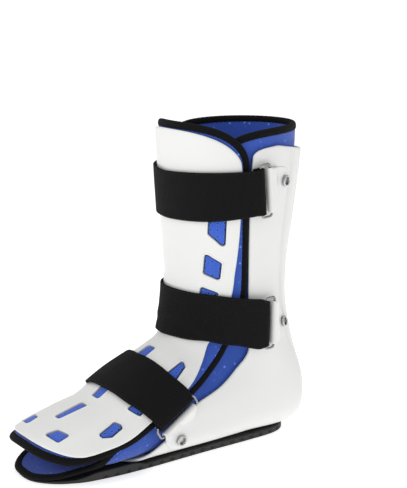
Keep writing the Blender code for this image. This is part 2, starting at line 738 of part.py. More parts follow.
def window_cutter(name, corners, side):
    """A prism through the front shell's wall."""
    rings = []
    for lift in (FRONT_SHELL_IN - CUTTER_RUN, FRONT_SHELL_OUT + CUTTER_RUN):
        rings.append([lifted(station, side * radians(angle), lift)
                      for angle, station in window_corners(corners)])
    bm = bmesh.new()
    loops = [[bm.verts.new(point) for point in points] for points in rings]
    count = len(loops[0])
    for k in range(count):
        m = (k + 1) % count
        bm.faces.new((loops[0][k], loops[0][m], loops[1][m], loops[1][k]))
    for loop in loops:
        bmesh.ops.triangulate(bm, faces=[bm.faces.new(loop)])
    return add_object(name, bm, material("moulded_white"))


def cut_windows(shell):
    for window in WINDOWS:
        for side in (1, -1) if window.paired else (1,):
            name = "window_" + window.name + ("_left" if side > 0 else "_right")
            cut(shell, window_cutter(name, window.corners, side))


def mirror_object(source, name):
    """The same piece on the other side of the boot."""
    bm = bmesh.new()
    bm.from_mesh(source.data)
    bm.transform(Matrix.Scale(-1, 4, Vector((1, 0, 0))))
    return add_object(name, bm, source.data.materials[0])


def fastening(strap, back_shell):
    """A strap with its two rings, tabs and rivets."""
    frame = ring_frame(strap)
    strap_piece(strap)
    left_ring = ring(strap.name + "_ring_left", frame)
    mirror_object(left_ring, strap.name + "_ring_right")
    left_tab = tab(strap.name + "_tab_left", strap, frame)
    right_tab = mirror_object(left_tab, strap.name + "_tab_right")
    for side, side_name, keeper in ((1, "left", left_tab), (-1, "right", right_tab)):
        rivet(strap.name + "_rivet_" + side_name, strap, side)
        hole = strap.name + "_hole_" + side_name
        rivet_hole(back_shell, strap, side, BACK_SHELL_IN - GAP, BACK_SHELL_OUT + GAP, hole)
        rivet_hole(keeper, strap, side, TAIL_IN - SEAT, TAB_OUT + SEAT, hole + "_tab")


def main():
    for old in list(bpy.data.objects):
        bpy.data.objects.remove(old, do_unlink=True)
    white = material("moulded_white")
    back_shell = panel("back_shell", BACK_SHELL, 0.0, BACK_SHELL_IN, BACK_SHELL_OUT, white)
    front_shell = panel("front_shell", FRONT_SHELL, 0.0, FRONT_SHELL_IN, FRONT_SHELL_OUT, white)
    liner_inset = BINDING_WIDTH + SEAT
    panel("back_liner", BACK_LINER, liner_inset, -BACK_LINER_WALL, 0.0, material("blue_fabric"))
    panel("front_liner", FRONT_LINER, liner_inset, FRONT_LINER_IN, FRONT_LINER_OUT, material("blue_fabric"))
    binding("back_binding", BACK_LINER, -BACK_LINER_WALL / 2, BACK_LINER_WALL / 2)
    binding("front_binding", FRONT_LINER, (FRONT_LINER_IN + FRONT_LINER_OUT) / 2, FRONT_LINER_WALL / 2)
    sole()
    cut_windows(front_shell)
    for strap in STRAPS:
        fastening(strap, back_shell)


main()
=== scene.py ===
"""Looks of a short walking boot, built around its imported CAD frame.

Two moulded shells stand over padded liners with bound edges. Three loop straps, each folded round
a wire ring at both ends, are held by keeper tabs and tubular rivets, and a rubber sole lies below.

Every wrapped piece is laid over one body surface, the outside of the back liner. A place on it is
a station, counted in sections from 0 above the top to 16 at the toes, and an angle from the front
centre line. A lift is a height above that surface. Metres, +Z up, toes along -Y.
"""

from collections import namedtuple

import bpy
import numpy as np
from bpy.props import FloatProperty, FloatVectorProperty, IntProperty, PointerProperty
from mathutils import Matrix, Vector


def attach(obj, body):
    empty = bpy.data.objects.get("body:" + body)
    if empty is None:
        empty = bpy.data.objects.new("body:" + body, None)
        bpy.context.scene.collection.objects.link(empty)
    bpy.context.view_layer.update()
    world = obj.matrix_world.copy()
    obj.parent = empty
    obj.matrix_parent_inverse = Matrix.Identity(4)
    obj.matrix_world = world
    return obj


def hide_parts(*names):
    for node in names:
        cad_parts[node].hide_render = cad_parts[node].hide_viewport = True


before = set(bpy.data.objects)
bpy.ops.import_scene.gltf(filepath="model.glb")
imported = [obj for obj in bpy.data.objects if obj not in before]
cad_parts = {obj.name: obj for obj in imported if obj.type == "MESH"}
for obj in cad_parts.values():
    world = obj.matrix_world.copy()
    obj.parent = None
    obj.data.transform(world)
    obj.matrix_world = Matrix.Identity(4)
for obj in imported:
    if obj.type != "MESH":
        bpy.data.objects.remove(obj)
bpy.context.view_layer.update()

bl_info = {
    "name": "Walking Boot Looks",
    "version": (1, 0, 0),
    "blender": (4, 5, 0),
    "location": "3D View > Sidebar > Walking Boot",
    "description": "Dresses a packed walking boot: shells, liners, straps, rings, rivets and sole",
    "category": "Add Mesh",
}

# Driving sizes of the whole boot
ANKLE_HEIGHT = 0.150
SHAFT_HEIGHT = 0.125
LEG_WIDTH = 0.107
LEG_DEPTH = 0.116
ANKLE_WIDTH = 0.088
HEEL_LENGTH = 0.073
INSTEP_LENGTH = 0.100
INSTEP_HEIGHT = 0.068
TOE_LENGTH = 0.203
FOOT_WIDTH = 0.089

# Walls and the gaps between pieces
SOLE_THICKNESS = 0.0052
SHELL_WALL = 0.0025
BACK_LINER_WALL = 0.0038
FRONT_LINER_WALL = 0.0046
GAP = 0.0005
SHELL_PLAY = 0.0014
SEAT = 0.0005
STRAP_SEAT = 0.0013

# Bound edges of the liners
BINDING_WIDTH = 0.0064

# Straps, rings, tabs and rivets
STRAP_WIDTH = 0.040
STRAP_THICKNESS = 0.0020
STRAP_TAIL = 0.005
RING_APPROACH = 6.0
RING_WIRE = 0.0026
RING_WIDTH = 0.0095
RING_CORNER = 0.0026
TAB_WALL = 0.0012
TAB_WIDTH = 0.034
TAB_END_WIDTH = 0.018
RIVET_DIAMETER = 0.0095
RIVET_HEAD = 0.0012
RIVET_SHANK = 0.0052
RIVET_BORE = 0.0030
HOLE_PLAY = 0.0004

# Shares of a rivet's radius at its crown and foot, and of half a strap where it climbs to its ring
RIVET_CROWN = 0.80
RIVET_FOOT = 0.96
STRAP_CLIMB = 0.25

# How finely a place on the body surface is searched for
EDGE_STEP = 0.05
SEARCH_ANGLE = 1.5
SEARCH_ROUNDS = 18
SETTLE_ROUNDS = 12

# Lifts above the body surface, each worked out from what lies under it
BACK_SHELL_IN = SHELL_PLAY
BACK_SHELL_OUT = BACK_SHELL_IN + SHELL_WALL
FRONT_LINER_IN = GAP
FRONT_LINER_OUT = FRONT_LINER_IN + FRONT_LINER_WALL
FRONT_SHELL_IN = FRONT_LINER_OUT + GAP
FRONT_SHELL_OUT = FRONT_SHELL_IN + SHELL_WALL
STRAP_IN = FRONT_SHELL_OUT + STRAP_SEAT
TAIL_IN = BACK_SHELL_OUT + SEAT
FOLD_LIFT = STRAP_THICKNESS + SEAT + RING_WIRE / 2
RING_LIFT = TAIL_IN + FOLD_LIFT
TAB_OUT = TAIL_IN + TAB_WALL
RIVET_SEAT = TAB_OUT + SEAT

# Leg sections, level: height above the ankle over SHAFT_HEIGHT, half width over LEG_WIDTH,
# front and back reach over LEG_DEPTH
LegRow = namedtuple("LegRow", "height half_width front back")
LEG_ROWS = (
    LegRow(1.080, 0.500, 0.453, 0.547),
    LegRow(0.840, 0.491, 0.440, 0.543),
    LegRow(0.600, 0.472, 0.429, 0.516),
    LegRow(0.344, 0.453, 0.414, 0.473),
    LegRow(0.144, 0.432, 0.397, 0.438),
    LegRow(0.000, 0.419, 0.390, 0.424),
)

# Heel sections, fanned from instep to heel: front_y over INSTEP_LENGTH, back_y over HEEL_LENGTH,
# both heights over the ankle's height above the footbed, half width over ANKLE_WIDTH
HeelRow = namedtuple("HeelRow", "front_y front_z back_y back_z half_width widest round_back")
HEEL_ROWS = (
    HeelRow(0.462, 0.917, 0.678, 0.776, 0.498, 0.50, 2.0),
    HeelRow(0.466, 0.832, 0.789, 0.505, 0.486, 0.52, 2.1),
    HeelRow(0.480, 0.755, 0.955, 0.205, 0.477, 0.56, 2.4),
    HeelRow(0.512, 0.690, 0.760, 0.016, 0.472, 0.60, 3.4),
    HeelRow(0.582, 0.590, 0.011, 0.005, 0.472, 0.62, 4.2),
    HeelRow(0.745, 0.517, -0.656, 0.000, 0.483, 0.62, 4.8),
)

# Foot sections, upright: reach over TOE_LENGTH, top over INSTEP_HEIGHT, half width over FOOT_WIDTH.
# plate is 1 where the back shell's footplate lies under the liner
FootRow = namedtuple("FootRow", "reach top half_width widest round_top round_back plate")
FOOT_ROWS = (
    FootRow(0.493, 1.000, 0.489, 0.60, 2.1, 5.0, 1),
    FootRow(0.640, 0.700, 0.500, 0.58, 2.2, 5.0, 1),
    FootRow(0.788, 0.565, 0.494, 0.55, 2.2, 4.6, 1),
    FootRow(0.911, 0.465, 0.427, 0.52, 2.2, 4.0, 0),
    FootRow(1.000, 0.375, 0.281, 0.50, 2.2, 3.0, 0),
)

# Sole outline and thickness: place along the boot over HEEL_LENGTH behind the leg or TOE_LENGTH
# before it, half width over FOOT_WIDTH, thickness over SOLE_THICKNESS
SoleRow = namedtuple("SoleRow", "place half_width thickness")
SOLE_ROWS = (
    SoleRow(0.726, 0.040, 1.00),
    SoleRow(0.700, 0.155, 1.00),
    SoleRow(0.616, 0.270, 1.00),
    SoleRow(0.411, 0.348, 1.00),
    SoleRow(0.000, 0.382, 1.00),
    SoleRow(-0.200, 0.405, 1.00),
    SoleRow(-0.400, 0.440, 0.96),
    SoleRow(-0.493, 0.456, 0.90),
    SoleRow(-0.640, 0.470, 0.75),
    SoleRow(-0.788, 0.445, 0.55),
    SoleRow(-0.860, 0.390, 0.52),
    SoleRow(-0.911, 0.325, 0.50),
    SoleRow(-0.955, 0.225, 0.36),
    SoleRow(-0.978, 0.130, 0.28),
    SoleRow(-0.985, 0.035, 0.26),
)

# Side edges: station along the boot and degrees from the front centre line
EdgeRow = namedtuple("EdgeRow", "station angle")
FRONT_SHELL_EDGE = (
    EdgeRow(0.0, 68), EdgeRow(2.7, 68), EdgeRow(4.7, 64), EdgeRow(5.8, 61.5), EdgeRow(7.2, 52),
    EdgeRow(8.4, 42.5), EdgeRow(9.2, 40), EdgeRow(10.1, 47.5), EdgeRow(11.0, 60),
    EdgeRow(12.3, 76), EdgeRow(13.5, 81), EdgeRow(16.0, 82),
)
FRONT_LINER_EDGE = (
    EdgeRow(0.0, 75), EdgeRow(2.7, 76), EdgeRow(4.0, 77), EdgeRow(5.8, 76), EdgeRow(7.2, 64),
    EdgeRow(8.5, 53.5), EdgeRow(9.6, 55), EdgeRow(10.9, 67), EdgeRow(12.3, 86),
    EdgeRow(13.4, 90), EdgeRow(16.0, 90),
)
BACK_SHELL_EDGE = (
    EdgeRow(0.0, 79), EdgeRow(2.7, 77.5), EdgeRow(5.8, 79), EdgeRow(7.9, 71), EdgeRow(9.1, 66),
    EdgeRow(10.0, 71.5), EdgeRow(11.1, 78.5), EdgeRow(11.6, 90), EdgeRow(11.95, 104),
    EdgeRow(12.3, 127), EdgeRow(12.5, 140), EdgeRow(12.7, 160), EdgeRow(12.9, 168), EdgeRow(16.0, 170),
)
BACK_LINER_EDGE = (
    EdgeRow(0.0, 54), EdgeRow(5.0, 54), EdgeRow(7.0, 44), EdgeRow(9.0, 34), EdgeRow(10.2, 40),
    EdgeRow(12.3, 66), EdgeRow(13.1, 78), EdgeRow(13.6, 91), EdgeRow(14.1, 115),
    EdgeRow(14.6, 127), EdgeRow(16.0, 131),
)

# A panel's outline: its side edge, the stations of its two ends, how many stations its rounded
# corners take and how square they are, and how far its top edge dips at the centre line
Outline = namedtuple("Outline", "edge behind top toe top_corner top_power toe_corner toe_power dip")
FRONT_SHELL = Outline(FRONT_SHELL_EDGE, False, 0.38, 15.50, 1.00, 2.3, 1.50, 2.0, 0.0)
FRONT_LINER = Outline(FRONT_LINER_EDGE, False, 0.17, 15.98, 1.10, 2.6, 1.50, 2.2, 0.0)
BACK_SHELL = Outline(BACK_SHELL_EDGE, True, 0.78, 13.95, 0.60, 6.0, 0.30, 4.0, 0.27)
BACK_LINER = Outline(BACK_LINER_EDGE, True, 0.36, 15.98, 0.70, 4.0, 1.30, 2.3, 0.0)
DIP_SPAN = 0.75

# Straps: the angle from the centre line and the stations of both long edges there, then the
# angles of the ring bar at both edges and the rivet's place
StrapRow = namedtuple("StrapRow", "angle upper lower")
Strap = namedtuple("Strap", "name rows bar_upper bar_lower tail_in tail rivet_station rivet_angle")
STRAPS = (
    Strap("upper", (StrapRow(0, 1.48, 2.76), StrapRow(45, 1.42, 2.72), StrapRow(90, 1.36, 2.56)),
          83.5, 87.5, TAIL_IN, STRAP_TAIL, 1.80, 113),
    Strap("ankle", (StrapRow(0, 5.95, 9.90), StrapRow(25, 5.90, 9.50), StrapRow(44, 5.80, 8.75),
                    StrapRow(60, 5.80, 8.08), StrapRow(96, 5.82, 7.45)),
          95.5, 83.5, TAIL_IN, STRAP_TAIL, 6.59, 122),
    Strap("forefoot", (StrapRow(0, 11.42, 12.64), StrapRow(39, 11.28, 12.56),
                       StrapRow(62, 11.10, 12.36), StrapRow(86, 11.06, 12.08)),
          67.0, 84.0, FRONT_LINER_OUT + SEAT, STRAP_TAIL / 2, 11.50, 102),
)

# Rows of a keeper tab behind its ring: share of its length, how far it still hangs from the
# ring's height to the shell's, and width over the tapering width there
TabRow = namedtuple("TabRow", "length rise width")
TAB_ROWS = (
    TabRow(0.20, 0.50, 1.0),
    TabRow(0.38, 0.05, 1.0),
    TabRow(0.55, 0.00, 1.0),
    TabRow(0.70, 0.00, 1.0),
    TabRow(0.85, 0.00, 1.0),
    TabRow(1.00, 0.00, 0.55),
)

# Windows: four corners, each an angle and a station. Those away from the centre come in pairs
Window = namedtuple("Window", "name paired corners")
WINDOWS = (
    Window("shin_high", True, ((42, 2.15), (56, 2.35), (54.5, 3.52), (40, 3.08))),
    Window("shin_middle", True, ((37, 3.76), (51.5, 4.13), (50, 4.95), (35, 4.62))),
    Window("shin_low", True, ((33, 5.48), (49, 5.72), (44, 7.0), (31, 6.5))),
    Window("instep_side", True, ((36, 10.58), (41.5, 10.68), (50.5, 11.35), (40, 11.60))),
    Window("instep_centre", False, ((-6, 10.90), (6, 10.90), (7, 11.65), (-7, 11.65))),
    Window("arch_side", True, ((46, 12.05), (57, 11.95), (61, 12.45), (45, 12.62))),
    Window("arch_centre", False, ((-7, 12.30), (7, 12.30), (5, 12.93), (-5, 12.93))),
    Window("ball_centre", False, ((-4.5, 13.32), (4.5, 13.32), (3.5, 14.20), (-3.5, 14.20))),
    Window("ball_side", True, ((49.5, 13.12), (60.5, 12.96), (66, 13.40), (60.5, 13.84))),
    Window("toe_side", True, ((20, 14.98), (22, 14.56), (40, 14.40), (44.5, 14.82))),
)

# Forms that only the looks have
WINDOW_ROUND = 0.0016
WINDOW_ROUND_STEPS = 7
WINDOW_LIP = 0.0022
WINDOW_GROW = 0.0008
WINDOW_GAP = 0.0010
WINDOW_CUSHION = ((1.0, -0.0026), (1.0, -0.0014), (0.97, -0.0009), (0.90, -0.0006), (0.75, -0.0004),
                  (0.5, -0.0003), (0.25, -0.0003), (0.02, -0.0003))
SPINE_HALF_ANGLE = 58.0
SPINE_SHOULDER = 3.0
SPINE_RISE = 0.0013
SPINE_GROOVE = 0.0019
FRONT_ROLL = 0.0003
PUCKER_PITCH = 0.0042
SEAM_SINK = 0.10
STRAP_SEAM_ROW = 13
TAB_THIN = 0.4
TAB_FULL = 1.5
RIVET_HOLE = 0.0064
WIRE_SHOWN = 0.0021
KEEPER_WIDTH = 0.0385
RAND_RISE = 0.0036
RAND_WALL = 0.0024
RAND_START = (0.104, 0.122)
RAND_END = (0.150, 0.176)
SOLE_ROUND = 0.0010
TREAD_PITCH = 0.007
TREAD_DEPTH = 0.0012
DIMPLE_PITCH = 0.0108
DIMPLE_HALF = 0.0025
DIMPLE_END = -0.150

# Stage: the camera fits the photograph, whose frame is 407 by 488 pixels
PHOTO_HEIGHT = 488
FOCAL_PIXELS = 1290.0
SENSOR_WIDTH = 36.0
CAMERA_PLACE = (0.90107, -0.63093, 0.400)
CAMERA_YAW = 145.984
CAMERA_PITCH = -11.797
STAGE_REACH = 60.0
WORLD_STRENGTH = 0.52
FLOOR_GLOW = 0.56
Light = namedtuple("Light", "name place size power")
LIGHTS = (
    Light("key_softbox", (-0.1, -1.7, 1.3), 0.9, 10.0),
    Light("side_softbox", (1.7, -0.1, 0.9), 0.8, 3.2),
    Light("top_softbox", (-0.3, 0.3, 1.9), 1.0, 8.0),
)

# Fineness of the shown meshes
TABLE = np.linspace(0.0, 16.0, 321)
SWEEP = np.linspace(0.0, 1.0, 241) ** 2
RIM_TURNS = (60.0, 30.0, 0.0, -30.0, -60.0)
FRONT_SHELL_MESH = (230, 96)
BACK_SHELL_MESH = (250, 132)
LINER_MESH = (56, 30)
STRAP_MESH = (30, 200)
TAB_MESH = (24, 44)
SOLE_MESH = (260, 44)
TUBE_POINTS = 16


def catmull(rows, place):
    """Smooth values of a table's rows at places counted in rows."""
    last = len(rows) - 1
    place = np.clip(place, 0.0, last - 1e-9)
    index = place.astype(int)
    share = (place - index)[..., None]
    before, start, end, after = (rows[np.clip(index + step, 0, last)] for step in (-1, 0, 1, 2))
    bend = 2 * before - 5 * start + 4 * end - after
    twist = 3 * start - before - 3 * end + after
    return (2 * start + (end - before) * share + bend * share ** 2 + twist * share ** 3) / 2


def between(rows, key):
    """The second value of rows that stand in the order of their first, at keys."""
    table = np.array(rows, float)
    keys, values = table[:, 0], table[:, 1]
    key = np.clip(key, keys[0], keys[-1])
    last = len(keys) - 1
    index = np.clip(np.searchsorted(keys, key, side="right") - 1, 0, last - 1)
    left, right = np.maximum(np.arange(last + 1) - 1, 0), np.minimum(np.arange(last + 1) + 1, last)
    slopes = (values[right] - values[left]) / (keys[right] - keys[left])
    span = keys[index + 1] - keys[index]
    share = (key - keys[index]) / span
    rise = values[index] + (values[index + 1] - values[index]) * share * share * (3 - 2 * share)
    ease = share * (1 - share) ** 2 * slopes[index] - share * share * (1 - share) * slopes[index + 1]
    return rise + span * ease


def sole_y(place):
    """A sole row's place as a length, behind the leg or before it."""
    return place * (HEEL_LENGTH if place > 0 else TOE_LENGTH)


def sole_top(y):
    """The sole's thickness at places along the boot."""
    rows = sorted((sole_y(row.place), row.thickness) for row in SOLE_ROWS)
    return np.interp(y, [row[0] for row in rows], [row[1] for row in rows]) * SOLE_THICKNESS


def boot_sections():
    """Every section as lengths: front point, back point, half width, widest share, roundness."""
    footbed = SOLE_THICKNESS + SEAT + BACK_SHELL_OUT
    rise = ANKLE_HEIGHT - footbed
    sections = []
    for row in LEG_ROWS:
        z = ANKLE_HEIGHT + row.height * SHAFT_HEIGHT
        widest = row.front / (row.front + row.back)
        sections.append((-row.front * LEG_DEPTH, z, row.back * LEG_DEPTH, z,
                         row.half_width * LEG_WIDTH, widest, 2.0, 2.0))
    for row in HEEL_ROWS:
        front_y, back_y = -row.front_y * INSTEP_LENGTH, row.back_y * HEEL_LENGTH
        sections.append((front_y, footbed + row.front_z * rise, back_y, footbed + row.back_z * rise,
                         row.half_width * ANKLE_WIDTH, row.widest, 2.0, row.round_back))
    for row in FOOT_ROWS:
        y = -row.reach * TOE_LENGTH
        bottom = sole_top(y) + SEAT + row.plate * BACK_SHELL_OUT
        sections.append((y, row.top * INSTEP_HEIGHT, y, bottom,
                         row.half_width * FOOT_WIDTH, row.widest, row.round_top, row.round_back))
    return np.array(sections)


SECTIONS = boot_sections()


def body_point(station, angle):
    """Points of the body surface: each section is an oval with its own roundness."""
    station, angle = np.broadcast_arrays(np.asarray(station, float), np.asarray(angle, float))
    values = np.moveaxis(catmull(SECTIONS, station), -1, 0)
    front_y, front_z, back_y, back_z, half, widest, round_front, round_back = values
    across, down = np.sin(angle), np.cos(angle)
    power = 2 / np.where(down > 0, round_front, round_back)
    reach = np.abs(down) ** power
    share = np.where(down > 0, widest * (1 - reach), widest + (1 - widest) * reach)
    x = half * np.abs(across) ** power * np.where(across > 0, 1, -1)
    y = front_y + (back_y - front_y) * share
    return np.stack([x, y, front_z + (back_z - front_z) * share], -1)


def body_steps(station, angle, step=1e-3):
    """How points move for each station and for each radian."""
    low = np.maximum(np.asarray(station, float) - step, 0.0)
    high = np.minimum(np.asarray(station, float) + step, len(SECTIONS) - 1)
    down = (body_point(high, angle) - body_point(low, angle)) / (high - low)[..., None]
    around = (body_point(station, angle + step) - body_point(station, angle - step)) / (2 * step)
    return down, around


def unit(vectors):
    return vectors / np.maximum(np.linalg.norm(vectors, axis=-1, keepdims=True), 1e-12)


def dot(a, b):
    return (a * b).sum(-1, keepdims=True)


def body_normal(station, angle):
    down, around = body_steps(station, angle)
    return unit(np.cross(down, around))


def lifted(station, angle, lift):
    """Points at a height above the body surface."""
    lift = np.asarray(lift, float)[..., None]
    return body_point(station, angle) + body_normal(station, angle) * lift


def settle(points, station, angle):
    """The stations and angles under points, found from near guesses."""
    station = np.broadcast_to(np.asarray(station, float), points.shape[:-1]).copy()
    angle = np.broadcast_to(np.asarray(angle, float), points.shape[:-1]).copy()
    for _ in range(SETTLE_ROUNDS):
        miss = points - body_point(station, angle)
        down, around = body_steps(station, angle)
        dd, aa, da = dot(down, down)[..., 0], dot(around, around)[..., 0], dot(down, around)[..., 0]
        md, ma = dot(miss, down)[..., 0], dot(miss, around)[..., 0]
        det = dd * aa - da * da
        station += (md * aa - ma * da) / det
        angle += (ma * dd - md * da) / det
    return station, angle


def smooth_step(values, start, end):
    share = np.clip((values - start) / (end - start), 0.0, 1.0)
    return share * share * (3 - 2 * share)


def corner(across, power):
    """0 along the middle of an edge, rising to 1 at its rounded corner."""
    return 1 - np.maximum(1 - np.abs(across) ** power, 0.0) ** (1 / power)


def edge_angles(outline, inset):
    """A panel's edge angle at every station of TABLE, drawn in square to the edge."""
    edge = np.radians(between(outline.edge, TABLE))
    if inset == 0.0:
        return edge
    start = body_point(TABLE, edge)
    run = body_point(TABLE + EDGE_STEP, np.radians(between(outline.edge, TABLE + EDGE_STEP))) - start
    inward = 1 if outline.behind else -1
    near, far = np.zeros(len(TABLE)), np.full(len(TABLE), SEARCH_ANGLE)
    for _ in range(SEARCH_ROUNDS):
        middle = (near + far) / 2
        way = body_point(TABLE, edge + inward * middle) - start
        square = way - run * dot(way, run) / np.maximum(dot(run, run), 1e-12)
        short = np.linalg.norm(square, axis=-1) < inset
        near, far = np.where(short, middle, near), np.where(short, far, middle)
    return edge + inward * near


def column_angles(outline, columns, inset):
    """Angles of columns that stand evenly on the surface, for every station of TABLE."""
    centre = np.pi if outline.behind else 0.0
    edge = edge_angles(outline, inset)
    sweep = centre + (edge - centre)[:, None] * SWEEP
    steps = np.linalg.norm(np.diff(body_point(TABLE[:, None], sweep), axis=1), axis=-1)
    length = np.concatenate([np.zeros((len(TABLE), 1)), np.cumsum(steps, axis=1)], axis=1)
    found = [np.interp(np.abs(columns) * run[-1], run, turn) for run, turn in zip(length, sweep)]
    return centre + np.sign(columns) * (np.array(found) - centre)


def end_shares(outline, angles, edge, station):
    """Each column's share of the angle out to the edge, at one station."""
    centre = np.pi if outline.behind else 0.0
    here = np.array([np.interp(station, TABLE, column) for column in angles.T])
    return np.clip(np.abs(here - centre) / abs(np.interp(station, TABLE, edge) - centre), 0.0, 1.0)


def panel_places(outline, rows, columns, inset):
    """Stations and angles of a panel's grid, with all its edges drawn in by inset."""
    centre = np.pi if outline.behind else 0.0
    angles = column_angles(outline, columns, inset)
    edge = edge_angles(outline, inset)
    top_share = end_shares(outline, angles, edge, outline.top)
    toe_share = end_shares(outline, angles, edge, outline.toe)
    top_step = np.linalg.norm(body_steps(outline.top, centre)[0])
    toe_step = np.linalg.norm(body_steps(outline.toe, centre)[0])
    dip = outline.dip * np.maximum(1 - (top_share / DIP_SPAN) ** 2, 0.0)
    top = outline.top + inset / top_step + dip
    top = top + outline.top_corner * corner(top_share, outline.top_power)
    toe = outline.toe - inset / toe_step
    toe = toe - outline.toe_corner * corner(toe_share, outline.toe_power)
    stations = top + (toe - top) * rows[:, None]
    turns = [np.interp(stations[:, j], TABLE, angles[:, j]) for j in range(len(columns))]
    return np.stack([stations, np.array(turns).T], -1)


def even_rows(outline, count):
    """Shares of a panel's length at which its rows stand evenly on the surface."""
    centre = np.pi if outline.behind else 0.0
    stations = np.linspace(outline.top, outline.toe, 400)
    edge = np.radians(between(outline.edge, stations))
    speeds = [np.linalg.norm(body_steps(stations, turn)[0], axis=-1) for turn in (centre, edge)]
    length = np.cumsum(np.maximum(*speeds))
    length = (length - length[0]) / (length[-1] - length[0])
    return np.interp(np.linspace(0, 1, count), length, np.linspace(0, 1, len(stations)))


def eased_columns(count):
    """Places from -1 to 1, close together near both ends."""
    even = np.linspace(-1.0, 1.0, count)
    return 0.35 * even + 0.65 * np.sin(even * np.pi / 2)


def around_edge(grid):
    """A grid's boundary, once around."""
    return np.concatenate([grid[:, 0], grid[-1, 1:], grid[-2::-1, -1], grid[0, -2:0:-1]])


def surface_run(points):
    """Lengths down the rows and across the columns of a grid of points."""
    down = np.linalg.norm(np.diff(points, axis=0), axis=-1)
    along = np.concatenate([np.zeros((1, points.shape[1])), np.cumsum(down, axis=0)])
    over = np.linalg.norm(np.diff(points, axis=1), axis=-1)
    across = np.concatenate([np.zeros((points.shape[0], 1)), np.cumsum(over, axis=1)], axis=1)
    across -= across[:, points.shape[1] // 2][:, None]
    return np.stack([along, across, np.zeros_like(along)], -1)


def closed_sheet(high, low, rims):
    """A closed skin from its outer grid, its inner grid and the loops around its rim."""
    rows, columns = high.shape[:2]
    count = rows * columns
    index = np.arange(count).reshape(rows, columns)
    quads = np.stack([index[:-1, :-1], index[1:, :-1], index[1:, 1:], index[:-1, 1:]], -1)
    quads = quads.reshape(-1, 4)
    edge = around_edge(index)
    loops = [edge]
    loops += [2 * count + k * len(edge) + np.arange(len(edge)) for k in range(len(rims))]
    loops.append(edge + count)
    walls = [np.stack([np.roll(a, -1), a, b, np.roll(b, -1)], -1) for a, b in zip(loops, loops[1:])]
    faces = np.concatenate([quads, (quads + count)[:, ::-1], *walls])
    points = np.concatenate([high.reshape(-1, 3), low.reshape(-1, 3), *rims])
    cloth = surface_run(high)
    rim_cloth = around_edge(cloth)
    cloth = np.concatenate([cloth.reshape(-1, 3)] * 2 + [rim_cloth] * len(rims))
    return points, faces, cloth


def closed_tube(rings, closed=True):
    """A skin through rings of points, joined end to start or closed by its two ends."""
    count, sides = rings.shape[:2]
    index = np.arange(count * sides).reshape(count, sides)
    after = np.roll(index, -1, axis=0) if closed else index[1:]
    here = index if closed else index[:-1]
    faces = np.stack([here, np.roll(here, -1, 1), np.roll(after, -1, 1), after], -1).reshape(-1, 4)
    faces = faces.tolist()
    if not closed:
        faces += [index[0][::-1].tolist(), index[-1].tolist()]
    run = np.linalg.norm(np.roll(rings, -1, 0) - rings, axis=-1).mean(1)
    along = np.repeat(np.cumsum(run), sides)
    turn = np.tile(np.arange(sides) / sides, count)
    cloth = np.stack([along, turn * 2 * np.pi * BINDING_WIDTH / 2, np.zeros_like(along)], -1)
    return rings.reshape(-1, 3), faces, cloth


def turned_out(points, faces):
    """The same faces, all reversed if their skin is inside out."""
    volume = 0.0
    for face in faces:
        a, b, c = points[face[0]], points[face[1]], points[face[2]]
        volume += np.dot(a, np.cross(b, c))
        if len(face) == 4:
            volume += np.dot(a, np.cross(c, points[face[3]]))
    return faces if volume > 0 else [list(reversed(face)) for face in faces]


def signed_volume(points, faces):
    """Six times the volume of a closed skin, negative if it is inside out."""
    total = 0.0
    for size in (3, 4):
        group = np.array([face for face in faces if len(face) == size], int).reshape(-1, size)
        for step in range(1, size - 1):
            corners = points[group[:, 0]], points[group[:, step]], points[group[:, step + 1]]
            total += dot(corners[0], np.cross(corners[1], corners[2])).sum()
    return total


def mesh_of(name, skins, sharp=None):
    """One mesh from closed skins, each given as points, faces and cloth coordinates."""
    points, faces, cloth, base = [], [], [], 0
    for part_points, part_faces, part_cloth in skins:
        part_faces = np.asarray(part_faces).tolist() if isinstance(part_faces, np.ndarray) else part_faces
        if signed_volume(part_points, part_faces) < 0:
            part_faces = [face[::-1] for face in part_faces]
        faces += [[corner_index + base for corner_index in face] for face in part_faces]
        points.append(part_points)
        cloth.append(part_cloth)
        base += len(part_points)
    mesh = bpy.data.meshes.new(name)
    mesh.from_pydata(np.concatenate(points).tolist(), [], faces)
    mesh.attributes.new("cloth", "FLOAT_VECTOR", "POINT")
    mesh.attributes["cloth"].data.foreach_set("vector", np.concatenate(cloth).astype(np.float32).ravel())
    mesh.shade_smooth()
    if sharp:
        mesh.set_sharp_from_angle(angle=np.radians(sharp))
    return mesh


def add_piece(name, mesh, finish, slot, *nodes):
    """Show a mesh as a piece of the boot with its finish, hiding the CAD nodes that it stands for."""
    piece = bpy.data.objects.new(name, mesh)
    bpy.context.scene.collection.objects.link(piece)
    mesh.materials.clear()
    mesh.materials.append(finish)
    if nodes:
        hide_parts(*nodes)
    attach(piece, "root")
    return piece


# Shaders: small helpers, the shared effects as node groups, then one material for each finish
def add_node(tree, kind, inputs=(), **settings):
    """A node with its settings, and its inputs joined to sockets or set to values."""
    node = tree.nodes.new(kind)
    for name, value in settings.items():
        setattr(node, name, value)
    for key, value in dict(inputs).items():
        if isinstance(value, bpy.types.NodeSocket):
            tree.links.new(value, node.inputs[key])
        else:
            node.inputs[key].default_value = value
    return node


def math_node(tree, operation, *values):
    return add_node(tree, "ShaderNodeMath", dict(enumerate(values)), operation=operation).outputs[0]


def new_group(name, inputs, outputs):
    """An empty node group with named sockets, its input node and its output node."""
    tree = bpy.data.node_groups.new(name, "ShaderNodeTree")
    for socket_name, kind, value in inputs:
        socket = tree.interface.new_socket(socket_name, in_out="INPUT", socket_type=kind)
        if value is not None:
            socket.default_value = value
    for socket_name, kind in outputs:
        tree.interface.new_socket(socket_name, in_out="OUTPUT", socket_type=kind)
    return tree, tree.nodes.new("NodeGroupInput"), tree.nodes.new("NodeGroupOutput")


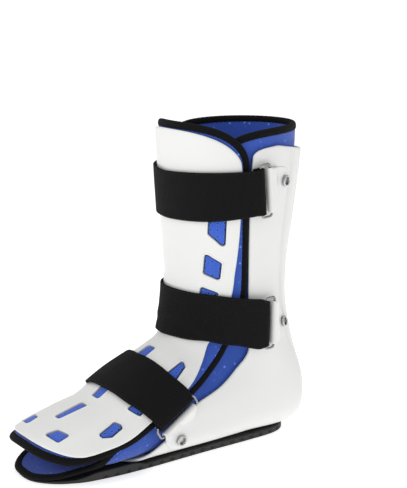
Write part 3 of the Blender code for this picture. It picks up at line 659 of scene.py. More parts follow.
def woven_group():
    """A plain weave: threads of two directions that pass over and under each other."""
    tree, given, result = new_group(
        "Woven threads",
        [("Coordinate", "NodeSocketVector", None), ("Thread", "NodeSocketFloat", 0.0008),
         ("Rib", "NodeSocketFloat", 0.0)],
        [("Height", "NodeSocketFloat"), ("Shade", "NodeSocketFloat")])
    split = add_node(tree, "ShaderNodeSeparateXYZ", {"Vector": given.outputs["Coordinate"]})
    counts = [math_node(tree, "DIVIDE", split.outputs[axis], given.outputs["Thread"]) for axis in (0, 1)]
    waves = [math_node(tree, "ABSOLUTE", math_node(tree, "SINE", math_node(
        tree, "MULTIPLY", count, np.pi))) for count in counts]
    floors = [math_node(tree, "FLOOR", count) for count in counts]
    parity = math_node(tree, "FLOORED_MODULO", math_node(tree, "ADD", *floors), 2.0)
    warp_over = math_node(tree, "MULTIPLY", waves[0], parity)
    weft_over = math_node(tree, "MULTIPLY", waves[1], math_node(tree, "SUBTRACT", 1.0, parity))
    threads = math_node(tree, "ADD", warp_over, weft_over)
    height = math_node(tree, "ADD", math_node(tree, "MULTIPLY", waves[0], given.outputs["Rib"]), threads)
    fuzz = add_node(tree, "ShaderNodeTexNoise", {
        "Vector": given.outputs["Coordinate"], "Scale": 2600.0, "Detail": 3.0, "Roughness": 0.6})
    # Shade is painted shade, darker where the threads sink and lighter on their tops, mixed with random fibre fuzz.
    shade = math_node(tree, "ADD", math_node(tree, "MULTIPLY", height, 0.45),
                      math_node(tree, "MULTIPLY", fuzz.outputs[0], 0.55))
    tree.links.new(math_node(tree, "ADD", height, math_node(
        tree, "MULTIPLY", fuzz.outputs[0], 0.7)), result.inputs["Height"])
    tree.links.new(shade, result.inputs["Shade"])
    return tree


def perforation_group():
    """Small round holes in even rows: a mask of the holes and one of their pressed rims."""
    tree, given, result = new_group(
        "Pinholes",
        [("Coordinate", "NodeSocketVector", None), ("Pitch", "NodeSocketFloat", 0.009),
         ("Radius", "NodeSocketFloat", 0.0006), ("Scatter", "NodeSocketFloat", 0.9)],
        [("Hole", "NodeSocketFloat"), ("Rim", "NodeSocketFloat")])
    scale = math_node(tree, "DIVIDE", 1.0, given.outputs["Pitch"])
    cells = add_node(tree, "ShaderNodeTexVoronoi", {
        "Vector": given.outputs["Coordinate"], "Scale": scale,
        "Randomness": given.outputs["Scatter"]},
        voronoi_dimensions="3D")
    reach = math_node(tree, "MULTIPLY", cells.outputs["Distance"], given.outputs["Pitch"])
    hole = math_node(tree, "LESS_THAN", reach, given.outputs["Radius"])
    outer = math_node(tree, "LESS_THAN", reach, math_node(tree, "MULTIPLY", given.outputs["Radius"], 1.9))
    tree.links.new(hole, result.inputs["Hole"])
    tree.links.new(math_node(tree, "SUBTRACT", outer, hole), result.inputs["Rim"])
    return tree


def wear_group():
    """Broad clouds and fine specks that break up a surface's colour and gloss."""
    tree, given, result = new_group(
        "Handled surface",
        [("Coordinate", "NodeSocketVector", None), ("Broad", "NodeSocketFloat", 22.0),
         ("Fine", "NodeSocketFloat", 900.0)],
        [("Clouds", "NodeSocketFloat"), ("Specks", "NodeSocketFloat")])
    for output, scale, detail in (("Clouds", "Broad", 4.0), ("Specks", "Fine", 2.0)):
        noise = add_node(tree, "ShaderNodeTexNoise", {
            "Vector": given.outputs["Coordinate"], "Scale": given.outputs[scale], "Detail": detail,
            "Roughness": 0.55})
        tree.links.new(noise.outputs[0], result.inputs[output])
    return tree


def group_named(name, build):
    return bpy.data.node_groups.get(name) or build()


def use_group(tree, name, build, **inputs):
    node = add_node(tree, "ShaderNodeGroup", node_tree=group_named(name, build))
    for key, value in inputs.items():
        if isinstance(value, bpy.types.NodeSocket):
            tree.links.new(value, node.inputs[key])
        else:
            node.inputs[key].default_value = value
    return node


def new_finish(name, roughness, **constants):
    """A material with its Principled shader and the two kinds of coordinate that finishes use."""
    made = bpy.data.materials.new(name)
    made.use_nodes = True
    tree = made.node_tree
    shader = tree.nodes["Principled BSDF"]
    shader.inputs["Roughness"].default_value = roughness
    for key, value in constants.items():
        shader.inputs[key.replace("_", " ")].default_value = value
    place = add_node(tree, "ShaderNodeTexCoord").outputs["Object"]
    cloth = add_node(tree, "ShaderNodeAttribute", attribute_name="cloth").outputs["Vector"]
    return made, tree, shader, place, cloth


def spread(tree, value, low, high, from_low=0.0, from_high=1.0):
    """A varying value mapped onto another range."""
    node = add_node(tree, "ShaderNodeMapRange", {
        "Value": value, "From Min": from_low, "From Max": from_high, "To Min": low, "To Max": high})
    return node.outputs["Result"]


def tint(tree, factor, dark, light):
    """A colour between two others."""
    node = add_node(tree, "ShaderNodeMix", data_type="RGBA")
    for index, value in ((0, factor), (6, dark), (7, light)):
        if isinstance(value, bpy.types.NodeSocket):
            tree.links.new(value, node.inputs[index])
        else:
            node.inputs[index].default_value = value
    return node.outputs[2]


def shaded(colour, share):
    return (*(min(channel * share, 1.0) for channel in colour[:3]), 1.0)


def raise_bumps(tree, shader, *layers):
    """Bump layers, each a height, a strength and a depth, on a shader's normal."""
    normal = None
    for height, strength, distance in layers:
        inputs = {"Height": height, "Strength": strength, "Distance": distance}
        if normal:
            inputs["Normal"] = normal
        normal = add_node(tree, "ShaderNodeBump", inputs).outputs["Normal"]
    tree.links.new(normal, shader.inputs["Normal"])


def hollow_shade(tree, reach, low):
    """Painted shade from ambient occlusion: 1 in the open, falling to low inside narrow gaps and holes."""
    hidden = add_node(tree, "ShaderNodeAmbientOcclusion", {"Distance": reach}, samples=8)
    return spread(tree, hidden.outputs["AO"], low, 1.0, 0.15, 0.85)


def darkened(tree, colour, share):
    """A colour times a varying share."""
    grey = add_node(tree, "ShaderNodeCombineColor", {0: share, 1: share, 2: share}).outputs[0]
    node = add_node(tree, "ShaderNodeMix", data_type="RGBA", blend_type="MULTIPLY")
    node.inputs[0].default_value = 1.0
    tree.links.new(colour, node.inputs[6])
    tree.links.new(grey, node.inputs[7])
    return node.outputs[2]


def moulded_finish(name, colour, roughness, grain, shade):
    """Satin moulded plastic: slight clouds in its colour and gloss, a faint moulding grain, painted shade in its
    grooves and gaps.
    """
    made, tree, shader, place, _ = new_finish(
        name, roughness, Coat_Weight=0.12, Coat_Roughness=0.45, Specular_IOR_Level=0.45)
    wear = use_group(tree, "Handled surface", wear_group, Coordinate=place, Broad=14.0, Fine=700.0)
    clouded = tint(tree, spread(tree, wear.outputs["Clouds"], 0, 1, 0.3, 0.7),
                   shaded(colour, 0.985), shaded(colour, 1.0))
    # Painted shade: the colour darkens in grooves and in the gaps beside straps, tabs and rims.
    tree.links.new(darkened(tree, clouded, hollow_shade(tree, 0.0028, shade)), shader.inputs["Base Color"])
    gloss = spread(tree, wear.outputs["Clouds"], roughness - 0.05, roughness + 0.08, 0.3, 0.7)
    tree.links.new(gloss, shader.inputs["Roughness"])
    raise_bumps(tree, shader, (wear.outputs["Specks"], grain, 0.00012),
                (wear.outputs["Clouds"], 0.05, 0.0010))
    return made


def lining_finish(name, colour, flat, pitch, radius, dot):
    """Blue spacer fabric: a fine weave with painted shade between its threads, pinholes with pressed rims painted
    lighter as a highlight, painted shade in its hollows.
    """
    made, tree, shader, place, cloth = new_finish(
        name, 0.82, Sheen_Weight=0.25, Sheen_Roughness=0.5, Specular_IOR_Level=0.25)
    weave = use_group(tree, "Woven threads", woven_group, Coordinate=cloth, Thread=0.00085, Rib=0.15)
    dotted = cloth if flat else place
    holes = use_group(tree, "Pinholes", perforation_group, Coordinate=dotted, Pitch=pitch,
                      Radius=radius, Scatter=0.06 if flat else 0.9)
    wear = use_group(tree, "Handled surface", wear_group, Coordinate=place, Broad=45.0, Fine=1500.0)
    # Painted shade between the threads, from the weave's Shade.
    woven = tint(tree, spread(tree, weave.outputs["Shade"], 0, 1, 0.15, 0.85),
                 shaded(colour, 0.52), shaded(colour, 1.18))
    clouded = tint(tree, spread(tree, wear.outputs["Clouds"], 0, 0.22, 0.35, 0.7), woven, shaded(colour, 1.5))
    # Painted highlight: the pinholes' rims are lightened.
    rim_highlighted = tint(tree, spread(tree, holes.outputs["Rim"], 0, 0.30), clouded, shaded(colour, 2.6))
    # Hole colour: dot 0.05 on the windows is painted shade in the holes; dot 4.2 on the liner gives light dots.
    holed = tint(tree, holes.outputs["Hole"], rim_highlighted, shaded(colour, dot))
    # Painted shade: darker in hollows and narrow gaps.
    tree.links.new(darkened(tree, holed, hollow_shade(tree, 0.0016, 0.12)), shader.inputs["Base Color"])
    raise_bumps(tree, shader, (weave.outputs["Height"], 0.55, 0.00018),
                (holes.outputs["Hole"], -0.8, 0.0006), (holes.outputs["Rim"], 0.3, 0.0003))
    return made


def webbing_finish(name, colour, thread, rib, strength, sheen):
    """Black fabric with ribs across it, painted lighter on their tops and darker between them, a soft nap and
    lint-like specks of lighter fibre.
    """
    made, tree, shader, place, cloth = new_finish(
        name, 0.92, Sheen_Weight=sheen, Sheen_Roughness=0.45, Specular_IOR_Level=0.12)
    weave = use_group(tree, "Woven threads", woven_group, Coordinate=cloth, Thread=thread, Rib=rib)
    wear = use_group(tree, "Handled surface", wear_group, Coordinate=place, Broad=60.0, Fine=2400.0)
    # Painted shade between the ribs and threads, from the weave's Shade, mixed with random fibre tone.
    woven = tint(tree, spread(tree, weave.outputs["Shade"], 0, 1, 0.15, 0.95),
                 shaded(colour, 0.45), shaded(colour, 1.9))
    napped = tint(tree, spread(tree, wear.outputs["Specks"], 0, 0.3, 0.62, 0.8), woven, shaded(colour, 5.0))
    tree.links.new(napped, shader.inputs["Base Color"])
    raise_bumps(tree, shader, (weave.outputs["Height"], strength, 0.00025),
                (wear.outputs["Specks"], 0.35, 0.0002))
    return made


def rubber_finish(name, colour):
    """Matt rubber with a fine moulded grain, paler scuffs and painted shade in its dimples and hollows."""
    made, tree, shader, place, _ = new_finish(name, 0.62, Specular_IOR_Level=0.4)
    wear = use_group(tree, "Handled surface", wear_group, Coordinate=place, Broad=35.0, Fine=1300.0)
    scuffed = tint(tree, spread(tree, wear.outputs["Clouds"], 0, 1, 0.4, 0.75),
                   shaded(colour, 0.8), shaded(colour, 1.7))
    # Painted shade: darker in the side dimples and narrow gaps.
    hollow_shaded = darkened(tree, scuffed, hollow_shade(tree, 0.0025, 0.1))
    tree.links.new(hollow_shaded, shader.inputs["Base Color"])
    tree.links.new(spread(tree, wear.outputs["Clouds"], 0.5, 0.75, 0.3, 0.7), shader.inputs["Roughness"])
    raise_bumps(tree, shader, (wear.outputs["Specks"], 0.5, 0.0002))
    return made


def steel_finish(name, colour):
    """Bright plated steel with faint rub marks and painted shade in its crevices and bores."""
    made, tree, shader, place, _ = new_finish(name, 0.16, Metallic=1.0)
    wear = use_group(tree, "Handled surface", wear_group, Coordinate=place, Broad=160.0, Fine=3200.0)
    rubbed = tint(tree, spread(tree, wear.outputs["Clouds"], 0, 1, 0.35, 0.7),
                  shaded(colour, 0.82), shaded(colour, 1.0))
    # Painted shade: darker in the rivet bores and where rings touch other parts.
    crevice_shaded = darkened(tree, rubbed, hollow_shade(tree, 0.0022, 0.06))
    tree.links.new(crevice_shaded, shader.inputs["Base Color"])
    tree.links.new(spread(tree, wear.outputs["Clouds"], 0.08, 0.20, 0.3, 0.7), shader.inputs["Roughness"])
    raise_bumps(tree, shader, (wear.outputs["Specks"], 0.08, 0.0001))
    return made


def floor_finish(name, colour):
    """Plain pale floor."""
    made, tree, shader, place, _ = new_finish(name, 0.7, Specular_IOR_Level=0.2)
    wear = use_group(tree, "Handled surface", wear_group, Coordinate=place, Broad=3.0, Fine=300.0)
    tree.links.new(tint(tree, wear.outputs["Clouds"], shaded(colour, 0.995), shaded(colour, 1.0)),
                   shader.inputs["Base Color"])
    shader.inputs["Emission Color"].default_value = (1.0, 1.0, 1.0, 1.0)
    shader.inputs["Emission Strength"].default_value = FLOOR_GLOW
    return made


def finish(name):
    """The named finish, made once from the colours in the sidebar."""
    if name in bpy.data.materials:
        return bpy.data.materials[name]
    look = bpy.context.scene.boot_looks
    builders = {
        "moulded white": lambda: moulded_finish(name, look.shell_colour, 0.44, 0.10, 0.72),
        "tab white": lambda: moulded_finish(name, look.shell_colour, 0.34, 0.22, 0.9),
        "blue lining": lambda: lining_finish(name, look.lining_colour, False, 0.0064, 0.0007, 4.2),
        # Painted light: the window lining is the lining colour painted 1.25 times lighter, with its pinholes painted
        # dark as shade.
        "blue window lining": lambda: lining_finish(
            name, shaded(look.lining_colour, 1.25), True, 0.0058, 0.00075, 0.05),
        "black loop webbing": lambda: webbing_finish(name, look.webbing_colour, 0.0019, 1.4, 0.6, 0.02),
        "black binding": lambda: webbing_finish(name, look.webbing_colour, 0.0008, 0.5, 0.5, 0.02),
        "black thread": lambda: webbing_finish(name, look.thread_colour, 0.0004, 0.2, 0.4, 0.05),
        "dark rubber": lambda: rubber_finish(name, look.rubber_colour),
        "bright steel": lambda: steel_finish(name, look.steel_colour),
        # Painted light: the rivets' steel is the ring steel painted 1.7 times lighter.
        "rivet steel": lambda: steel_finish(name, shaded(look.steel_colour, 1.7)),
        "pale floor": lambda: floor_finish(name, look.floor_colour),
    }
    return builders[name]()


# Windows: each outline is worked out on a flat plane that touches the body at the window's middle
WindowPlane = namedtuple("WindowPlane", "origin right up normal station angle")


def window_plane(corners, side):
    """The touching plane at a window's middle, on one side of the boot."""
    station = np.mean([corner_row[1] for corner_row in corners])
    angle = np.radians(np.mean([corner_row[0] for corner_row in corners])) * side
    down, around = body_steps(station, angle)
    normal = body_normal(station, angle)
    right = unit(around)
    return WindowPlane(body_point(station, angle), right, np.cross(normal, right), normal, station, angle)


def rounded_outline(corners, radius, steps):
    """A polygon's outline with round corners, and the outward direction at each point."""
    centre = corners.mean(0)
    points, outwards = [], []
    for index, here in enumerate(corners):
        before, after = corners[index - 1], corners[(index + 1) % len(corners)]
        to_before, to_after = unit(before - here), unit(after - here)
        half = np.arccos(np.clip(to_before @ to_after, -1, 1)) / 2
        room = min(np.linalg.norm(before - here), np.linalg.norm(after - here)) * 0.46
        bend = min(radius, room * np.tan(half))
        middle = here + unit(to_before + to_after) * bend / np.sin(half)
        start = here + to_before * bend / np.tan(half) - middle
        end = here + to_after * bend / np.tan(half) - middle
        for share in np.linspace(0, 1, steps):
            out = unit(start * (1 - share) + end * share)
            points.append(middle + out * bend)
            outwards.append(out)
    points, outwards = np.array(points), np.array(outwards)
    if ((points - centre) * outwards).sum() < 0:
        outwards = -outwards
    return points, outwards


def window_loops():
    """For every window: a function from an outward distance and a lift to its loop of points."""
    loops = []
    for window in WINDOWS:
        for side in (1, -1) if window.paired else (1,):
            plane = window_plane(window.corners, side)
            stations = np.array([row[1] for row in window.corners])
            angles = np.radians([row[0] for row in window.corners]) * side
            way = body_point(stations, angles) - plane.origin
            flat = np.stack([way @ plane.right, way @ plane.up], -1)
            loops.append((plane, *rounded_outline(flat, WINDOW_ROUND, WINDOW_ROUND_STEPS)))
    return loops


def window_ring(loop, out, lift):
    """A window's outline, moved outwards and laid over the body at a lift."""
    plane, points, outwards = loop
    flat = points + outwards * (out + WINDOW_GROW)
    space = plane.origin + flat[:, :1] * plane.right + flat[:, 1:] * plane.up
    station, angle = settle(space, plane.station, plane.angle)
    return lifted(station, angle, lift)


def window_cutters(loops):
    """Closed prisms that reach through the front shell at its windows."""
    skins = []
    for loop in loops:
        ends = [window_ring(loop, 0.0, lift) for lift in (FRONT_SHELL_IN - SHELL_WALL, FRONT_SHELL_OUT + SHELL_WALL)]
        sides = len(ends[0])
        points = np.concatenate([*ends, ends[0].mean(0)[None], ends[1].mean(0)[None]])
        faces = []
        for k in range(sides):
            m = (k + 1) % sides
            faces.append([k, m, sides + m, sides + k])
            faces.append([m, k, 2 * sides])
            faces.append([sides + k, sides + m, 2 * sides + 1])
        skins.append((points, faces, points))
    return mesh_of("window cutters", skins)


def window_lips(loops, rise):
    """The soft raised rim around each window, rolled down into the opening."""
    profile = (
        (WINDOW_LIP, FRONT_SHELL_OUT - 0.0002), (WINDOW_LIP * 0.80, FRONT_SHELL_OUT + rise * 0.12),
        (WINDOW_LIP * 0.55, FRONT_SHELL_OUT + rise * 0.62), (WINDOW_LIP * 0.32, FRONT_SHELL_OUT + rise * 0.95),
        (WINDOW_LIP * 0.12, FRONT_SHELL_OUT + rise * 0.80), (-0.0001, FRONT_SHELL_OUT + rise * 0.25),
        (-0.00025, FRONT_SHELL_OUT - SHELL_WALL * 0.35), (-0.00025, FRONT_SHELL_IN + 0.0001),
        (0.0010, FRONT_SHELL_IN + 0.0004), (WINDOW_LIP * 0.7, FRONT_SHELL_OUT - SHELL_WALL * 0.4),
    )
    skins = []
    for loop in loops:
        rings = np.stack([window_ring(loop, out, lift) for out, lift in profile], 1)
        skins.append(closed_tube(rings))
    return skins


def window_cushions(loops):
    """Where the padding presses up into each window, nearly flush with the shell."""
    skins = []
    for plane, points, outwards in loops:
        centre = points.mean(0)
        rings = []
        for size, lift in WINDOW_CUSHION:
            inner = (plane, centre + (points - centre) * size, outwards * size)
            rings.append(window_ring(inner, -WINDOW_GAP, FRONT_SHELL_OUT + lift))
        skin_points, faces, _ = closed_tube(np.array(rings), closed=False)
        way = skin_points - plane.origin
        cloth = np.stack([way @ plane.right, way @ plane.up, 0 * way[:, 0]], -1)
        skins.append((skin_points, faces, cloth))
    return skins


# Panels
def rim_loops(inner, outer, high, low):
    """Loops of points that round a panel's edge over from its outer face to its inner one."""
    middle, half = (high + low) / 2, (high - low) / 2
    loops = []
    for turn in np.radians(RIM_TURNS):
        place = inner + (outer - inner) * np.cos(turn)
        loops.append(lifted(place[:, 0], place[:, 1], middle + half * np.sin(turn)))
    return loops


def panel_skin(outline, size, inset, low, high, relief=None):
    """A panel's closed skin with rounded edges, and its outer face raised by a relief."""
    rows, columns = even_rows(outline, size[0]), eased_columns(size[1])
    radius = (high - low) / 2
    inner = panel_places(outline, rows, columns, inset + radius)
    outer = panel_places(outline, rows, columns, inset)
    raised = high + (relief(inner[..., 0], inner[..., 1]) if relief else np.zeros(inner.shape[:2]))
    top = lifted(inner[..., 0], inner[..., 1], raised)
    bottom = lifted(inner[..., 0], inner[..., 1], np.full(inner.shape[:2], low))
    rims = rim_loops(around_edge(inner), around_edge(outer), around_edge(raised), low)
    return closed_sheet(top, bottom, rims)


def spine_relief(station, angle):
    """The back shell's moulded spine: a raised band behind, with a groove at its foot."""
    behind = np.degrees(np.abs((angle % (2 * np.pi)) - np.pi))
    foot = SPINE_HALF_ANGLE - 6.0 * smooth_step(station, 2.0, 8.0)
    fade = 1 - smooth_step(station, 6.2, 8.6)
    band = 1 - smooth_step(behind, foot - SPINE_SHOULDER, foot)
    groove = np.exp(-((behind - foot - 1.0) / 1.3) ** 2)
    return fade * (SPINE_RISE * band - SPINE_GROOVE * groove)


def front_relief(station, angle):
    """A low crown down the front shell's middle, with a soft flat beside its edge."""
    edge = np.radians(between(FRONT_SHELL_EDGE, station))
    share = np.clip(np.abs(angle) / edge, 0.0, 1.0)
    return FRONT_ROLL * smooth_step(share, 0.90, 0.99)


def apply_modifiers(piece):
    """The piece's mesh with its modifiers worked into it."""
    seen = piece.evaluated_get(bpy.context.evaluated_depsgraph_get())
    mesh = bpy.data.meshes.new_from_object(seen)
    piece.modifiers.clear()
    piece.data = mesh
    return mesh


def cut_windows(skin, loops):
    """The front shell's skin with its windows cut through."""
    shell = bpy.data.objects.new("shell blank", mesh_of("shell blank", [skin]))
    cutter = bpy.data.objects.new("window cutters", window_cutters(loops))
    for made in (shell, cutter):
        bpy.context.scene.collection.objects.link(made)
    boolean = shell.modifiers.new("windows", "BOOLEAN")
    boolean.operation = "DIFFERENCE"
    boolean.solver = "EXACT"
    boolean.object = cutter
    mesh = apply_modifiers(shell)
    for made in (shell, cutter):
        bpy.data.objects.remove(made)
    return mesh


def joined(meshes):
    """Meshes as closed skins that mesh_of can put together."""
    skins = []
    for mesh in meshes:
        points = np.empty(len(mesh.vertices) * 3)
        mesh.vertices.foreach_get("co", points)
        cloth = np.zeros(len(mesh.vertices) * 3)
        if "cloth" in mesh.attributes:
            mesh.attributes["cloth"].data.foreach_get("vector", cloth)
        faces = [list(polygon.vertices) for polygon in mesh.polygons]
        skins.append((points.reshape(-1, 3), faces, cloth.reshape(-1, 3)))
    return skins


# Padded liners
def swell(piece, held, pressure, cap, frames=20):
    """Blow a liner up as cloth between its held points, no further than cap, and keep the shape."""
    group = piece.vertex_groups.new(name="held")
    group.add([int(index) for index in np.nonzero(held)[0]], 1.0, "REPLACE")
    cloth = piece.modifiers.new("padding", "CLOTH")
    cloth.settings.use_pressure = True
    cloth.settings.uniform_pressure_force = pressure
    cloth.settings.vertex_group_mass = "held"
    cloth.settings.effector_weights.gravity = 0.0
    cloth.settings.quality = 6
    cloth.settings.mass = 0.25
    cloth.point_cache.frame_start = 1
    cloth.point_cache.frame_end = frames
    scene = bpy.context.scene
    for frame_number in range(1, frames + 1):
        scene.frame_set(frame_number)
    seen = piece.evaluated_get(bpy.context.evaluated_depsgraph_get())
    moved = np.empty(len(piece.data.vertices) * 3)
    seen.data.vertices.foreach_get("co", moved)
    rest = np.empty_like(moved)
    piece.data.vertices.foreach_get("co", rest)
    moved, rest = moved.reshape(-1, 3), rest.reshape(-1, 3)
    way = np.nan_to_num(moved - rest)
    length = np.maximum(np.linalg.norm(way, axis=1), 1e-12)
    limit = cap * np.tanh(length / cap)
    piece.modifiers.clear()
    piece.data.vertices.foreach_set("co", (rest + way * (limit / length)[:, None]).ravel())
    piece.data.update()
    scene.frame_set(1)


def liner(name, outline, low, high, cap):
    """A padded liner between its bindings: swollen as cloth, then made fine."""
    rows, columns = LINER_MESH
    inset = BINDING_WIDTH * 0.45
    skin = panel_skin(outline, LINER_MESH, inset, low, high)
    mesh = mesh_of(name, [skin])
    piece = add_piece(name + "_padding", mesh, finish("blue lining"), "blue_lining", name)
    count = rows * columns
    held = np.zeros(len(mesh.vertices), bool)
    grid = np.zeros((rows, columns), bool)
    grid[:2], grid[-2:], grid[:, :2], grid[:, -2:] = True, True, True, True
    held[:count] = grid.ravel()
    held[count:2 * count] = grid.ravel()
    held[2 * count:] = True
    swell(piece, held, 4.0, cap)
    smooth = piece.modifiers.new("fine", "SUBSURF")
    smooth.levels = smooth.render_levels = 2
    finished = apply_modifiers(piece)
    finished.name = name + "_padding"
    return piece


# Bound edges
def even_path(points, spacing, closed=True):
    """Points evenly along a path, with the places in it that they come from."""
    run = np.concatenate([points, points[:1]]) if closed else points
    length = np.concatenate([[0.0], np.cumsum(np.linalg.norm(np.diff(run[:, :3], axis=0), axis=1))])
    count = max(int(round(length[-1] / spacing)), 4)
    at = np.linspace(0, length[-1], count + 1)[:-1] if closed else np.linspace(0, length[-1], count)
    return np.stack([np.interp(at, length, run[:, k]) for k in range(run.shape[1])], -1), at


def softened(points, passes):
    """A closed path with its small kinks evened out."""
    for _ in range(passes):
        points = (np.roll(points, 1, 0) + 2 * points + np.roll(points, -1, 0)) / 4
    return points


def binding_path(outline, lift):
    """The middle of a liner's bound edge, and the body's normals along it."""
    rows, columns = even_rows(outline, 150), eased_columns(90)
    places = around_edge(panel_places(outline, rows, columns, BINDING_WIDTH / 2))
    centres = lifted(places[:, 0], places[:, 1], np.full(len(places), lift))
    normals = body_normal(places[:, 0], places[:, 1])
    both, at = even_path(np.concatenate([centres, normals], 1), 0.0012)
    both = softened(both, 6)
    return both[:, :3], unit(both[:, 3:]), at


def binding(name, outline, lift, half_height, node):
    """A fabric tape folded over a liner's edge: a soft tube with small puckers at its stitches."""
    look = bpy.context.scene.boot_looks
    centres, ups, at = binding_path(outline, lift)
    runs = unit(np.roll(centres, -1, 0) - np.roll(centres, 1, 0))
    sides = unit(np.cross(runs, ups))
    turns = 2 * np.pi * np.arange(TUBE_POINTS) / TUBE_POINTS
    inwards = np.sign(dot(sides, centres.mean(0) - centres).sum())
    pucker = look.pucker * np.sin(2 * np.pi * at / PUCKER_PITCH)[:, None]
    seam = np.exp(-((np.cos(turns) * inwards - 0.80) / 0.16) ** 2)[None]
    reach = 1 - SEAM_SINK * seam + pucker / half_height * (0.3 + 0.7 * (np.cos(turns) * inwards > 0.2))[None]
    wide = np.cos(turns) * reach * BINDING_WIDTH * 0.60
    tall = np.sign(np.sin(turns)) * np.abs(np.sin(turns)) ** 0.9 * reach * half_height
    rings = centres[:, None] + sides[:, None] * wide[..., None] + ups[:, None] * tall[..., None]
    add_piece(name, mesh_of(name, [closed_tube(rings)]), finish("black binding"), "edge_binding", node)
    seams = []
    for face in (1.0, -1.0):
        line = centres + sides * inwards * BINDING_WIDTH * 0.36 + ups * face * half_height * 0.70
        seams.append(stitches(line, sides * 0 + ups * face, 0.0021, 0.0011, 0.00028))
    add_piece(name + "_stitches", mesh_of(name + "_stitches", seams), finish("black thread"), "edge_binding")


def ball():
    """Points and faces of a small rounded bead of unit size, drawn out along X."""
    around, rings = 6, 4
    points = [(-1.0, 0.0, 0.0)]
    for k in range(1, rings):
        turn = np.pi * k / rings
        points += [(-np.cos(turn), np.sin(turn) * np.cos(a), np.sin(turn) * np.sin(a))
                   for a in 2 * np.pi * np.arange(around) / around]
    points.append((1.0, 0.0, 0.0))
    last = len(points) - 1
    faces = [[0, 1 + (k + 1) % around, 1 + k] for k in range(around)]
    for row in range(rings - 2):
        start = 1 + row * around
        for k in range(around):
            m = (k + 1) % around
            faces.append([start + k, start + m, start + around + m, start + around + k])
    start = 1 + (rings - 2) * around
    faces += [[start + k, start + (k + 1) % around, last] for k in range(around)]
    return np.array(points), faces


def stitches(line, ups, length, gap, radius, closed=True):
    """A seam of separate stitches along a line."""
    both, _ = even_path(np.concatenate([line, ups], 1), length + gap, closed)
    places, ups = both[:, :3], unit(both[:, 3:])
    runs = unit(np.roll(places, -1, 0) - np.roll(places, 1, 0)) if closed else unit(np.gradient(places, axis=0))
    overs = unit(np.cross(ups, runs))
    shape, faces = ball()
    shape = shape * np.array([length / 2, radius, radius])
    points = (places[:, None] + shape[None, :, :1] * runs[:, None] + shape[None, :, 1:2] * overs[:, None]
              + shape[None, :, 2:] * ups[:, None])
    count = len(shape)
    all_faces = [[index + k * count for index in face] for k in range(len(places)) for face in faces]
    cloth = np.repeat(np.arange(len(places)) * 0.003, count)[:, None] + np.zeros((1, 3))
    return points.reshape(-1, 3), all_faces, cloth + points.reshape(-1, 3)


# Straps, rings and tabs
RingFrame = namedtuple("RingFrame", "front back run side up")


def strap_station(strap, angle, share):
    """The station at a share of the strap's width, from its upper edge to its lower one."""
    key = np.degrees(np.abs(angle))
    upper = between([(row.angle, row.upper) for row in strap.rows], key)
    lower = between([(row.angle, row.lower) for row in strap.rows], key)
    return upper + (lower - upper) * share


def ring_frame(strap):
    """Where a ring on the +X side lies: its two bars' middles and its three directions."""
    ends = []
    for share, degrees_round in ((0.0, strap.bar_upper), (1.0, strap.bar_lower)):
        angle = np.radians(degrees_round)
        ends.append(lifted(strap_station(strap, angle, share), angle, strap.tail_in + FOLD_LIFT))
    front = (ends[0] + ends[1]) / 2
    run = unit(ends[1] - ends[0])
    angle = np.radians((strap.bar_upper + strap.bar_lower) / 2)
    station, angle = settle(front, strap_station(strap, angle, 0.5), angle)
    front = lifted(station, angle, strap.tail_in + FOLD_LIFT)
    side = unit(np.cross(run, body_normal(station, angle)))
    side = side * np.sign(side @ body_steps(station, angle)[1])
    back = lifted(*settle(front + side * RING_WIDTH, station, angle), RING_LIFT)
    side = back - front
    side = unit(side - run * (side @ run))
    up = unit(np.cross(run, side))
    up = up * np.sign(up @ body_normal(station, angle))
    return RingFrame(front, front + side * RING_WIDTH, run, side, up)


def mirror(points):
    return points * np.array([-1.0, 1.0, 1.0])


def ring_skin(ring, wire):
    """A rectangular wire ring with rounded corners."""
    middle = (ring.front + ring.back) / 2
    half_run, half_side = STRAP_WIDTH / 2 + RING_WIRE, RING_WIDTH / 2
    turns = 2 * np.pi * np.arange(TUBE_POINTS) / TUBE_POINTS
    centres, outs = [], []
    for run_sign, side_sign, first in ((1, 1, 0), (1, -1, 90), (-1, -1, 180), (-1, 1, 270)):
        bend = middle + ring.run * run_sign * (half_run - RING_CORNER)
        bend = bend + ring.side * side_sign * (half_side - RING_CORNER)
        for swing in np.radians(first + np.linspace(0, 90, 9)):
            out = ring.side * np.cos(swing) + ring.run * np.sin(swing)
            centres.append(bend + out * RING_CORNER)
            outs.append(out)
    both, _ = even_path(np.concatenate([centres, outs], 1), 0.0007)
    centres, outs = both[:, :3], unit(both[:, 3:])
    rings = centres[:, None] + (outs[:, None] * np.cos(turns)[None, :, None]
                                + ring.up * np.sin(turns)[None, :, None]) * wire / 2
    return closed_tube(rings)


def wrapped(ring, bar, side_sign, lift, offset, turns):
    """Points of a band's middle where it wraps a ring's bar, for each offset along the bar."""
    turns = np.radians(turns)[:, None, None]
    out = ring.side * side_sign * np.cos(turns) + ring.up * np.sin(turns)
    return bar + ring.run * offset[None, :, None] + out * lift


def eased(count, power=0.7):
    """Shares from 0 to 1, close together at both ends."""
    even = np.linspace(0, 1, count)
    return power * (1 - np.cos(np.pi * even)) / 2 + (1 - power) * even


def rounded_edge(lengths, reach):
    """1 away from an edge, falling to 0 on it along a quarter round."""
    return np.sqrt(np.clip(1 - (1 - np.clip(lengths / reach, 0, 1)) ** 2, 0.0, 1.0))


def grid_normals(points):
    return unit(np.cross(np.gradient(points, axis=0), np.gradient(points, axis=1)))


def even_columns(points, count):
    """Each column of a grid laid out again with its points evenly along it."""
    columns = [even_line(points[:, j], count) for j in range(points.shape[1])]
    return np.stack(columns, 1)


